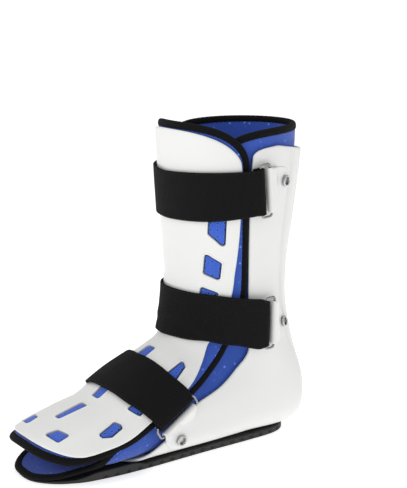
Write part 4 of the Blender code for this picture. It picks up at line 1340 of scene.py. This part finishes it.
def even_line(points, count):
    length = np.concatenate([[0.0], np.cumsum(np.linalg.norm(np.diff(points, axis=0), axis=1))])
    at = np.linspace(0, length[-1], count)
    return np.stack([np.interp(at, length, points[:, k]) for k in range(3)], -1)


def relaxed(points, passes):
    """A grid with the kinks down its columns evened out, its ends kept."""
    for _ in range(passes):
        points[1:-1] = (points[:-2] + 2 * points[1:-1] + points[2:]) / 4
    return points


def strap_middle(strap, ring):
    """The middle surface of a strap, from its left tail round both rings to its right tail."""
    widths, columns = STRAP_MESH
    share = eased(widths)
    offset = STRAP_WIDTH * (share - 0.5)
    lift = RING_WIRE / 2 + SEAT + STRAP_THICKNESS / 2
    fold = wrapped(ring, ring.front, 1, lift, offset, np.linspace(90, -90, 13))
    tail = fold[-1] - ring.side * strap.tail * np.linspace(0.3, 1, 4)[:, None, None]
    half = np.concatenate([fold, tail])
    stop = np.radians(strap.bar_upper + (strap.bar_lower - strap.bar_upper) * share - RING_APPROACH)
    place = np.linspace(-1, 1, columns)[:, None]
    angle = stop * place
    station = strap_station(strap, angle, share)
    climb = strap.tail_in + FOLD_LIFT + RING_WIRE / 2 + SEAT - STRAP_IN
    rising = np.maximum((np.abs(place) - 1 + STRAP_CLIMB) / STRAP_CLIMB, 0.0) ** 1.5
    edges = [lifted(strap_station(strap, angle, s), angle, np.full(angle.shape, STRAP_IN)) for s in (0.0, 1.0)]
    bridge = edges[0] + (edges[1] - edges[0]) * share[None, :, None]
    base, normal = body_point(station, angle), body_normal(station, angle)
    height = np.maximum(dot(bridge - base, normal)[..., 0], STRAP_IN)
    height = height + climb * rising + STRAP_THICKNESS / 2
    run = base + normal * height[..., None]
    return np.concatenate([mirror(half)[::-1], run, half])


def strap_skin(strap, ring, thickness):
    """A strap's closed skin, thin at its selvedges, with a soft wave along its length."""
    middle = relaxed(even_columns(strap_middle(strap, ring), STRAP_MESH[1]), 4)
    normal = grid_normals(middle)
    outwards = np.sign(dot(normal, middle - middle.mean((0, 1)))[len(middle) // 2].sum())
    normal = normal * outwards
    share = eased(STRAP_MESH[0])
    half = thickness / 2 * rounded_edge(np.minimum(share, 1 - share) * STRAP_WIDTH, thickness * 0.45)
    half = np.maximum(half, thickness * 0.02)[None, :, None]
    along = np.linspace(0, 1, len(middle))[:, None]
    wave = 0.00012 * np.sin(along * 41 + share[None] * 3) * np.sin(share[None] * np.pi)
    high, low = middle + normal * (half + wave[..., None]), middle - normal * half
    return closed_sheet(high, low, []), middle, normal


def tab_slim(part):
    """How much of a tab's wall is left, from its fold to its rivet."""
    return TAB_FULL - (TAB_FULL - TAB_THIN) * smooth_step(part, 0.15, 0.45)


def tab_middle(strap, ring):
    """The middle surface of a keeper tab, from under its ring round the bar and on to the rivet."""
    widths, rows = TAB_MESH
    share = eased(widths)
    lift = RING_WIRE / 2 + SEAT / 2 + TAB_WALL * TAB_FULL / 2
    fold = wrapped(ring, ring.back, -1, lift, KEEPER_WIDTH * (share - 0.5), np.linspace(-90, 90, 15))
    guess = np.radians((strap.bar_upper + strap.bar_lower) / 2)
    station, angle = settle(ring.back, strap_station(strap, guess, 0.5), guess)
    base = body_point(station, angle)
    way = body_point(strap.rivet_station, np.radians(strap.rivet_angle)) - base
    way = way - ring.up * (way @ ring.up)
    length = np.linalg.norm(way) + TAB_END_WIDTH / 2
    way = unit(way)
    part = np.linspace(0.16, 1.0, rows)[:, None]
    bend = TAB_END_WIDTH / 2 / length
    width = KEEPER_WIDTH + (TAB_END_WIDTH - KEEPER_WIDTH) * part
    tip = np.clip((part - (1 - bend)) / bend, 0, 1)
    width = width * np.sqrt(np.maximum(1 - tip ** 2, 0.02))
    across = width * (share[None] - 0.5)
    points = base + way * (length * part)[..., None] + ring.run * across[..., None]
    rise = between([(row.length, row.rise) for row in TAB_ROWS], part) + np.zeros_like(across)
    rise = np.where(part < TAB_ROWS[0].length, TAB_ROWS[0].rise + (0.2 - part) * 2.5, rise)
    height = BACK_SHELL_OUT + rise * (RING_LIFT + RING_WIRE / 2 + SEAT - BACK_SHELL_OUT)
    height = height + TAB_WALL / 2 * tab_slim(part)
    station, angle = settle(points, station, angle)
    return np.concatenate([fold, lifted(station, angle, height)])


def tab_skin(strap, ring):
    """A keeper tab's closed skin with soft edges."""
    middle = relaxed(even_columns(tab_middle(strap, ring), TAB_MESH[1] * 2), 3)
    normal = grid_normals(middle)
    normal = normal * np.sign(dot(normal[-6], ring.up).sum())
    share = eased(TAB_MESH[0])
    width = np.linalg.norm(middle[:, -1] - middle[:, 0], axis=-1)[:, None]
    half = TAB_WALL / 2 * rounded_edge(np.minimum(share, 1 - share)[None] * width, TAB_WALL * 0.6)
    end = np.arange(len(middle))[::-1][:, None] * np.linalg.norm(middle[-1, 10] - middle[-2, 10])
    half = half * rounded_edge(end, TAB_WALL * 0.6) * tab_slim(np.linspace(-0.4, 1.0, len(middle)))[:, None]
    half = np.maximum(half, TAB_WALL * 0.02)[..., None]
    return closed_sheet(middle + normal * half, middle - normal * half, []), middle, normal


def mirrored_skin(skin):
    points, faces, cloth = skin
    return mirror(points), faces, cloth


def turned_skin(profile, origin, direction, sides=40):
    """A lathed closed skin about an axis from rows of radius and height."""
    quaternion = Vector(direction).to_track_quat("Z", "Y").to_matrix()
    turns = 2 * np.pi * np.arange(sides) / sides
    radius, height = np.array(profile, float).T
    ring_points = np.stack([radius[:, None] * np.cos(turns), radius[:, None] * np.sin(turns),
                            height[:, None] + 0 * turns], -1)
    points = ring_points @ np.array(quaternion).T + origin
    skin_points, faces, cloth = closed_tube(points, closed=False)
    return skin_points, faces, cloth


def rivet_skin(strap, side):
    """A tubular rivet: a rolled flange round a deep open bore."""
    angle = np.radians(strap.rivet_angle) * side
    origin, normal = body_point(strap.rivet_station, angle), body_normal(strap.rivet_station, angle)
    head, bore = RIVET_DIAMETER / 2, RIVET_HOLE / 2
    seat, rise = RIVET_SEAT - SEAT, RIVET_HEAD + SEAT
    profile = [(0.0002, BACK_SHELL_IN + 0.0008), (bore * 0.98, BACK_SHELL_IN + 0.0008)]
    profile += [(bore, seat + rise * 0.35)]
    for turn in np.radians(np.linspace(180, 0, 13)):
        middle, reach = (head + bore) / 2, (head - bore) / 2
        swell_up = max(np.sin(turn), 0.0) ** 0.6
        profile.append((middle + reach * np.cos(turn), seat + rise * (0.35 + 0.65 * swell_up)))
    profile += [(head * 0.99, seat + 0.0001), (head * 0.9, seat - 0.0002), (RIVET_SHANK / 2, seat - 0.0002)]
    profile += [(RIVET_SHANK / 2, BACK_SHELL_IN + 0.0006), (0.0002, BACK_SHELL_IN + 0.0006)]
    return turned_skin(profile, origin, normal)


# Sole
def rand_rise(y):
    """How far the sole's edge stands up beside the front end of the footplate."""
    ahead = -np.asarray(y)
    return RAND_RISE * smooth_step(ahead, *RAND_START) * (1 - smooth_step(ahead, *RAND_END))


def sole_skin(dimple_depth):
    """The rubber sole: rounded edges, a row of small dimples in its side and grooves below."""
    rows, columns = SOLE_MESH
    table = np.array([(sole_y(row.place), row.half_width * FOOT_WIDTH) for row in SOLE_ROWS])
    outline = catmull(table, np.linspace(0, len(table) - 1, 1500))
    length = np.concatenate([[0.0], np.cumsum(np.linalg.norm(np.diff(outline, axis=0), axis=1))])
    at = (1 - np.cos(np.linspace(0, np.pi, rows))) / 2 * 0.5 + np.linspace(0, 1, rows) * 0.5
    y = np.interp(at * length[-1], length, outline[:, 0])
    half = np.interp(at * length[-1], length, outline[:, 1])
    share = np.sin(np.linspace(-1, 1, columns) * np.pi / 2)
    inset = SOLE_ROUND

    def face(drawn_in_by, height):
        scale = 1 - drawn_in_by / np.maximum(half, 0.004)
        middle_y = (y[0] + y[-1]) / 2
        shrunk = middle_y + (y - middle_y) * (1 - drawn_in_by / abs(y[0] - y[-1]) * 2)
        points = np.stack([half[:, None] * scale[:, None] * share, shrunk[:, None] + 0 * share], -1)
        z = height(points[..., 1]) + 0 * points[..., 0]
        return np.concatenate([points, z[..., None]], -1)

    def under(points):
        groove = np.abs(((points[..., 1] + np.abs(points[..., 0]) * 0.55) / TREAD_PITCH) % 1 - 0.5)
        inside = np.minimum(half[:, None] - np.abs(points[..., 0]), 0.01)
        cut_deep = smooth_step(groove, 0.40, 0.46) * smooth_step(inside, 0.003, 0.005)
        points[..., 2] += TREAD_DEPTH * np.minimum(cut_deep, sole_top(points[..., 1]) / SOLE_THICKNESS)
        return points

    high = face(inset, sole_top)
    wall = 1 - smooth_step(half[:, None] - np.abs(high[..., 0]), RAND_WALL, RAND_WALL + SOLE_ROUND)
    high[..., 2] += rand_rise(high[..., 1]) * wall
    low = under(face(inset, lambda at_y: 0 * at_y))
    rims = []
    for share_up, drawn in ((0.97, 0.35), (0.88, 0.08), (0.76, 0.0), (0.66, 0.0), (0.58, 0.0), (0.5, 0.0),
                            (0.42, 0.0), (0.34, 0.0), (0.24, 0.0), (0.12, 0.08), (0.03, 0.35)):
        loop = around_edge(face(
            inset * drawn, lambda at_y, up=share_up: (sole_top(at_y) + rand_rise(at_y)) * up))
        rims.append(loop)
    rims = np.array(rims)
    around = rims[5]
    outwards = unit(np.cross(np.roll(around, -1, 0) - np.roll(around, 1, 0), np.array([0.0, 0.0, 1.0])))
    outwards *= np.sign(dot(outwards, around).sum())
    place = (around[:, 1] / DIMPLE_PITCH) % 1 - 0.5
    up_share = (rims[..., 2] / sole_top(rims[..., 1]) - 0.5) / 0.30
    dent = np.clip(1 - (place[None] * DIMPLE_PITCH / DIMPLE_HALF) ** 2 - up_share ** 2, 0.0, 1.0)
    dent *= (np.abs(outwards[None, :, 0]) > 0.6) * (around[None, :, 1] > DIMPLE_END)
    rims = rims - outwards[None] * (dimple_depth * dent ** 0.6)[..., None]
    return closed_sheet(high, low, list(rims))


# Sizes and colours that a user would change
class BootLooks(bpy.types.PropertyGroup):
    shell_colour: FloatVectorProperty(name="Shell colour", description="Moulded shells and keeper tabs",
                                      subtype="COLOR", size=4, min=0, max=1, default=(0.80, 0.805, 0.785, 1))
    lining_colour: FloatVectorProperty(name="Lining colour", description="Padded liners",
                                       subtype="COLOR", size=4, min=0, max=1, default=(0.035, 0.096, 0.47, 1))
    webbing_colour: FloatVectorProperty(name="Webbing colour", description="Straps and bound edges",
                                        subtype="COLOR", size=4, min=0, max=1, default=(0.0040, 0.0040, 0.0041, 1))
    thread_colour: FloatVectorProperty(name="Thread colour", description="Sewing thread",
                                       subtype="COLOR", size=4, min=0, max=1, default=(0.02, 0.02, 0.022, 1))
    rubber_colour: FloatVectorProperty(name="Rubber colour", description="Sole",
                                       subtype="COLOR", size=4, min=0, max=1, default=(0.026, 0.025, 0.025, 1))
    steel_colour: FloatVectorProperty(name="Steel colour", description="Rings and rivets",
                                      subtype="COLOR", size=4, min=0, max=1, default=(0.34, 0.34, 0.35, 1))
    floor_colour: FloatVectorProperty(name="Floor colour", description="Plain floor round the boot",
                                      subtype="COLOR", size=4, min=0, max=1, default=(0.93, 0.93, 0.93, 1))
    window_rise: FloatProperty(name="Window lip", description="Height of the rim round each window",
                               subtype="DISTANCE", unit="LENGTH", default=0.00055, min=0.0001, max=0.0012)
    pucker: FloatProperty(name="Binding pucker", description="How deep the bound edges pucker between stitches",
                          subtype="DISTANCE", unit="LENGTH", default=0.00010, min=0.0, max=0.0005)
    dimple_depth: FloatProperty(name="Sole dimples", description="Depth of the dimples along the sole's side",
                                subtype="DISTANCE", unit="LENGTH", default=0.0016, min=0.0, max=0.002)
    swell_cap: FloatProperty(name="Padding swell", description="How far a liner's padding may swell",
                             subtype="DISTANCE", unit="LENGTH", default=0.0009, min=0.0, max=0.003)
    strap_thickness: FloatProperty(name="Strap thickness", description="Thickness of the loop straps",
                                   subtype="DISTANCE", unit="LENGTH", default=STRAP_THICKNESS, min=0.001, max=0.003)


class BOOT_OT_front_shell(bpy.types.Operator):
    """Build the front shell with its lipped windows"""
    bl_idname = "boot.front_shell"
    bl_label = "Front Shell"

    def execute(self, context):
        loops = window_loops()
        skin = panel_skin(FRONT_SHELL, FRONT_SHELL_MESH, 0.0, FRONT_SHELL_IN, FRONT_SHELL_OUT)
        wall = cut_windows(skin, loops)
        lips = mesh_of("lips", window_lips(loops, context.scene.boot_looks.window_rise))
        mesh = mesh_of("front_shell_moulding", joined([wall, lips]), sharp=38)
        add_piece("front_shell_moulding", mesh, finish("moulded white"), "moulded_shell", "front_shell")
        cushions = mesh_of("window_cushions", window_cushions(loops))
        # The cushions' finish is the lining painted lighter, with painted shade in its pinholes.
        add_piece("window_cushions", cushions, finish("blue window lining"), "blue_lining")
        return {"FINISHED"}


class BOOT_OT_back_shell(bpy.types.Operator):
    """Build the back shell with its moulded spine and footplate"""
    bl_idname = "boot.back_shell"
    bl_label = "Back Shell"

    def execute(self, context):
        skin = panel_skin(BACK_SHELL, BACK_SHELL_MESH, 0.0, BACK_SHELL_IN, BACK_SHELL_OUT, spine_relief)
        mesh = mesh_of("back_shell_moulding", [skin])
        add_piece("back_shell_moulding", mesh, finish("moulded white"), "moulded_shell", "back_shell")
        return {"FINISHED"}


class BOOT_OT_liners(bpy.types.Operator):
    """Build both padded liners, swollen as cloth between their bound edges"""
    bl_idname = "boot.liners"
    bl_label = "Padded Liners"

    def execute(self, context):
        cap = context.scene.boot_looks.swell_cap
        liner("back_liner", BACK_LINER, -BACK_LINER_WALL, 0.0, cap)
        liner("front_liner", FRONT_LINER, FRONT_LINER_IN, FRONT_LINER_OUT, cap * 0.5)
        return {"FINISHED"}


class BOOT_OT_bindings(bpy.types.Operator):
    """Build the bound edges of both liners with their stitches"""
    bl_idname = "boot.bindings"
    bl_label = "Bound Edges"

    def execute(self, context):
        binding("back_edge_tape", BACK_LINER, -BACK_LINER_WALL / 2, BACK_LINER_WALL * 0.62, "back_binding")
        middle = (FRONT_LINER_IN + FRONT_LINER_OUT) / 2
        binding("front_edge_tape", FRONT_LINER, middle, FRONT_LINER_WALL * 0.58, "front_binding")
        return {"FINISHED"}


class BOOT_OT_straps(bpy.types.Operator):
    """Build the three loop straps, each folded round a ring at both ends"""
    bl_idname = "boot.straps"
    bl_label = "Loop Straps"

    def execute(self, context):
        thickness = context.scene.boot_looks.strap_thickness
        for strap in STRAPS:
            skin, middle, normal = strap_skin(strap, ring_frame(strap), thickness)
            name = strap.name + "_loop_strap"
            add_piece(name, mesh_of(name, [skin]), finish("black loop webbing"), "black_webbing",
                      strap.name + "_strap")
            seams = []
            for column in (2, -3):
                line = (middle + normal * thickness * 0.46)[8:-8, column]
                seams.append(stitches(line, normal[8:-8, column], 0.0024, 0.0012, 0.00022, closed=False))
            for row in (STRAP_SEAM_ROW, -STRAP_SEAM_ROW - 1):
                line = (middle + normal * thickness * 0.5)[row, 3:-3]
                seams.append(stitches(line, normal[row, 3:-3], 0.0024, 0.0012, 0.00022, closed=False))
            add_piece(name + "_stitches", mesh_of(name + "_stitches", seams), finish("black thread"),
                      "black_webbing")
        return {"FINISHED"}


class BOOT_OT_hardware(bpy.types.Operator):
    """Build the wire rings, the keeper tabs and the tubular rivets"""
    bl_idname = "boot.hardware"
    bl_label = "Rings, Tabs and Rivets"

    def execute(self, context):
        for strap in STRAPS:
            ring = ring_frame(strap)
            wire = ring_skin(ring, WIRE_SHOWN)
            keeper, _, _ = tab_skin(strap, ring)
            for side_name, side in (("left", 1), ("right", -1)):
                end = strap.name + "_{}_" + side_name
                wire_here = wire if side > 0 else mirrored_skin(wire)
                keeper_here = keeper if side > 0 else mirrored_skin(keeper)
                for kind, skin, look, slot in (
                        ("ring", wire_here, "bright steel", "bright_steel"),
                        ("tab", keeper_here, "tab white", "moulded_tab"),
                        ("rivet", rivet_skin(strap, side), "rivet steel", "bright_steel")):
                    name = end.format(kind) + "_shown"
                    mesh = mesh_of(name, [skin], sharp=50 if kind == "rivet" else None)
                    add_piece(name, mesh, finish(look), slot, end.format(kind))
        return {"FINISHED"}


class BOOT_OT_sole(bpy.types.Operator):
    """Build the rubber sole with its side dimples and tread"""
    bl_idname = "boot.sole"
    bl_label = "Rubber Sole"

    def execute(self, context):
        mesh = mesh_of("rubber_sole_moulding", [sole_skin(context.scene.boot_looks.dimple_depth)], sharp=45)
        add_piece("rubber_sole_moulding", mesh, finish("dark rubber"), "rubber_sole", "sole")
        return {"FINISHED"}


def area_light(name, place, aim, size, power):
    light = bpy.data.lights.new(name, "AREA")
    light.shape = "SQUARE"
    light.size = size
    light.energy = power
    lamp = bpy.data.objects.new(name, light)
    lamp.location = place
    lamp.rotation_euler = (Vector(aim) - Vector(place)).to_track_quat("-Z", "Y").to_euler()
    bpy.context.scene.collection.objects.link(lamp)
    return lamp


class BOOT_OT_stage(bpy.types.Operator):
    """Set the plain floor, the soft studio light and the camera"""
    bl_idname = "boot.stage"
    bl_label = "Stage"

    def execute(self, context):
        scene = context.scene
        mesh = bpy.data.meshes.new("studio_floor")
        reach = STAGE_REACH
        mesh.from_pydata([(-reach, -reach, 0), (reach, -reach, 0), (reach, reach, 0), (-reach, reach, 0)],
                         [], [(0, 1, 2, 3)])
        mesh.materials.append(finish("pale floor"))
        floor = bpy.data.objects.new("studio_floor", mesh)
        scene.collection.objects.link(floor)
        middle = (0.0, -0.06, 0.12)
        for light in LIGHTS:
            area_light(light.name, light.place, middle, light.size, light.power)
        world = bpy.data.worlds.new("studio")
        world.use_nodes = True
        sky = world.node_tree.nodes["Background"]
        sky.inputs["Color"].default_value = (1.0, 1.0, 1.0, 1.0)
        sky.inputs["Strength"].default_value = WORLD_STRENGTH
        scene.world = world
        scene.view_settings.view_transform = "Standard"
        eye = bpy.data.cameras.new("photo_view")
        eye.sensor_width = SENSOR_WIDTH
        eye.lens = FOCAL_PIXELS / PHOTO_HEIGHT * SENSOR_WIDTH
        camera = bpy.data.objects.new("photo_view", eye)
        camera.location = CAMERA_PLACE
        yaw, pitch = np.radians(CAMERA_YAW), np.radians(CAMERA_PITCH)
        aim = Vector((np.cos(pitch) * np.cos(yaw), np.cos(pitch) * np.sin(yaw), np.sin(pitch)))
        camera.rotation_euler = aim.to_track_quat("-Z", "Y").to_euler()
        scene.collection.objects.link(camera)
        scene.camera = camera
        return {"FINISHED"}


PIECE_OPERATORS = (BOOT_OT_front_shell, BOOT_OT_back_shell, BOOT_OT_liners, BOOT_OT_bindings,
                   BOOT_OT_straps, BOOT_OT_hardware, BOOT_OT_sole, BOOT_OT_stage)


class BOOT_PT_looks(bpy.types.Panel):
    """The boot's sizes, colours and pieces"""
    bl_idname = "BOOT_PT_looks"
    bl_label = "Walking Boot"
    bl_space_type = "VIEW_3D"
    bl_region_type = "UI"
    bl_category = "Walking Boot"

    def draw(self, context):
        looks = context.scene.boot_looks
        for name in BootLooks.__annotations__:
            self.layout.prop(looks, name)
        for operator in PIECE_OPERATORS:
            self.layout.operator(operator.bl_idname)


CLASSES = (BootLooks, *PIECE_OPERATORS, BOOT_PT_looks)


def register():
    for each in CLASSES:
        bpy.utils.register_class(each)
    bpy.types.Scene.boot_looks = PointerProperty(type=BootLooks)


def unregister():
    del bpy.types.Scene.boot_looks
    for each in reversed(CLASSES):
        bpy.utils.unregister_class(each)


def main():
    register()
    for operator in PIECE_OPERATORS:
        family, name = operator.bl_idname.split(".")
        getattr(getattr(bpy.ops, family), name)()


if __name__ == "__main__":
    main()
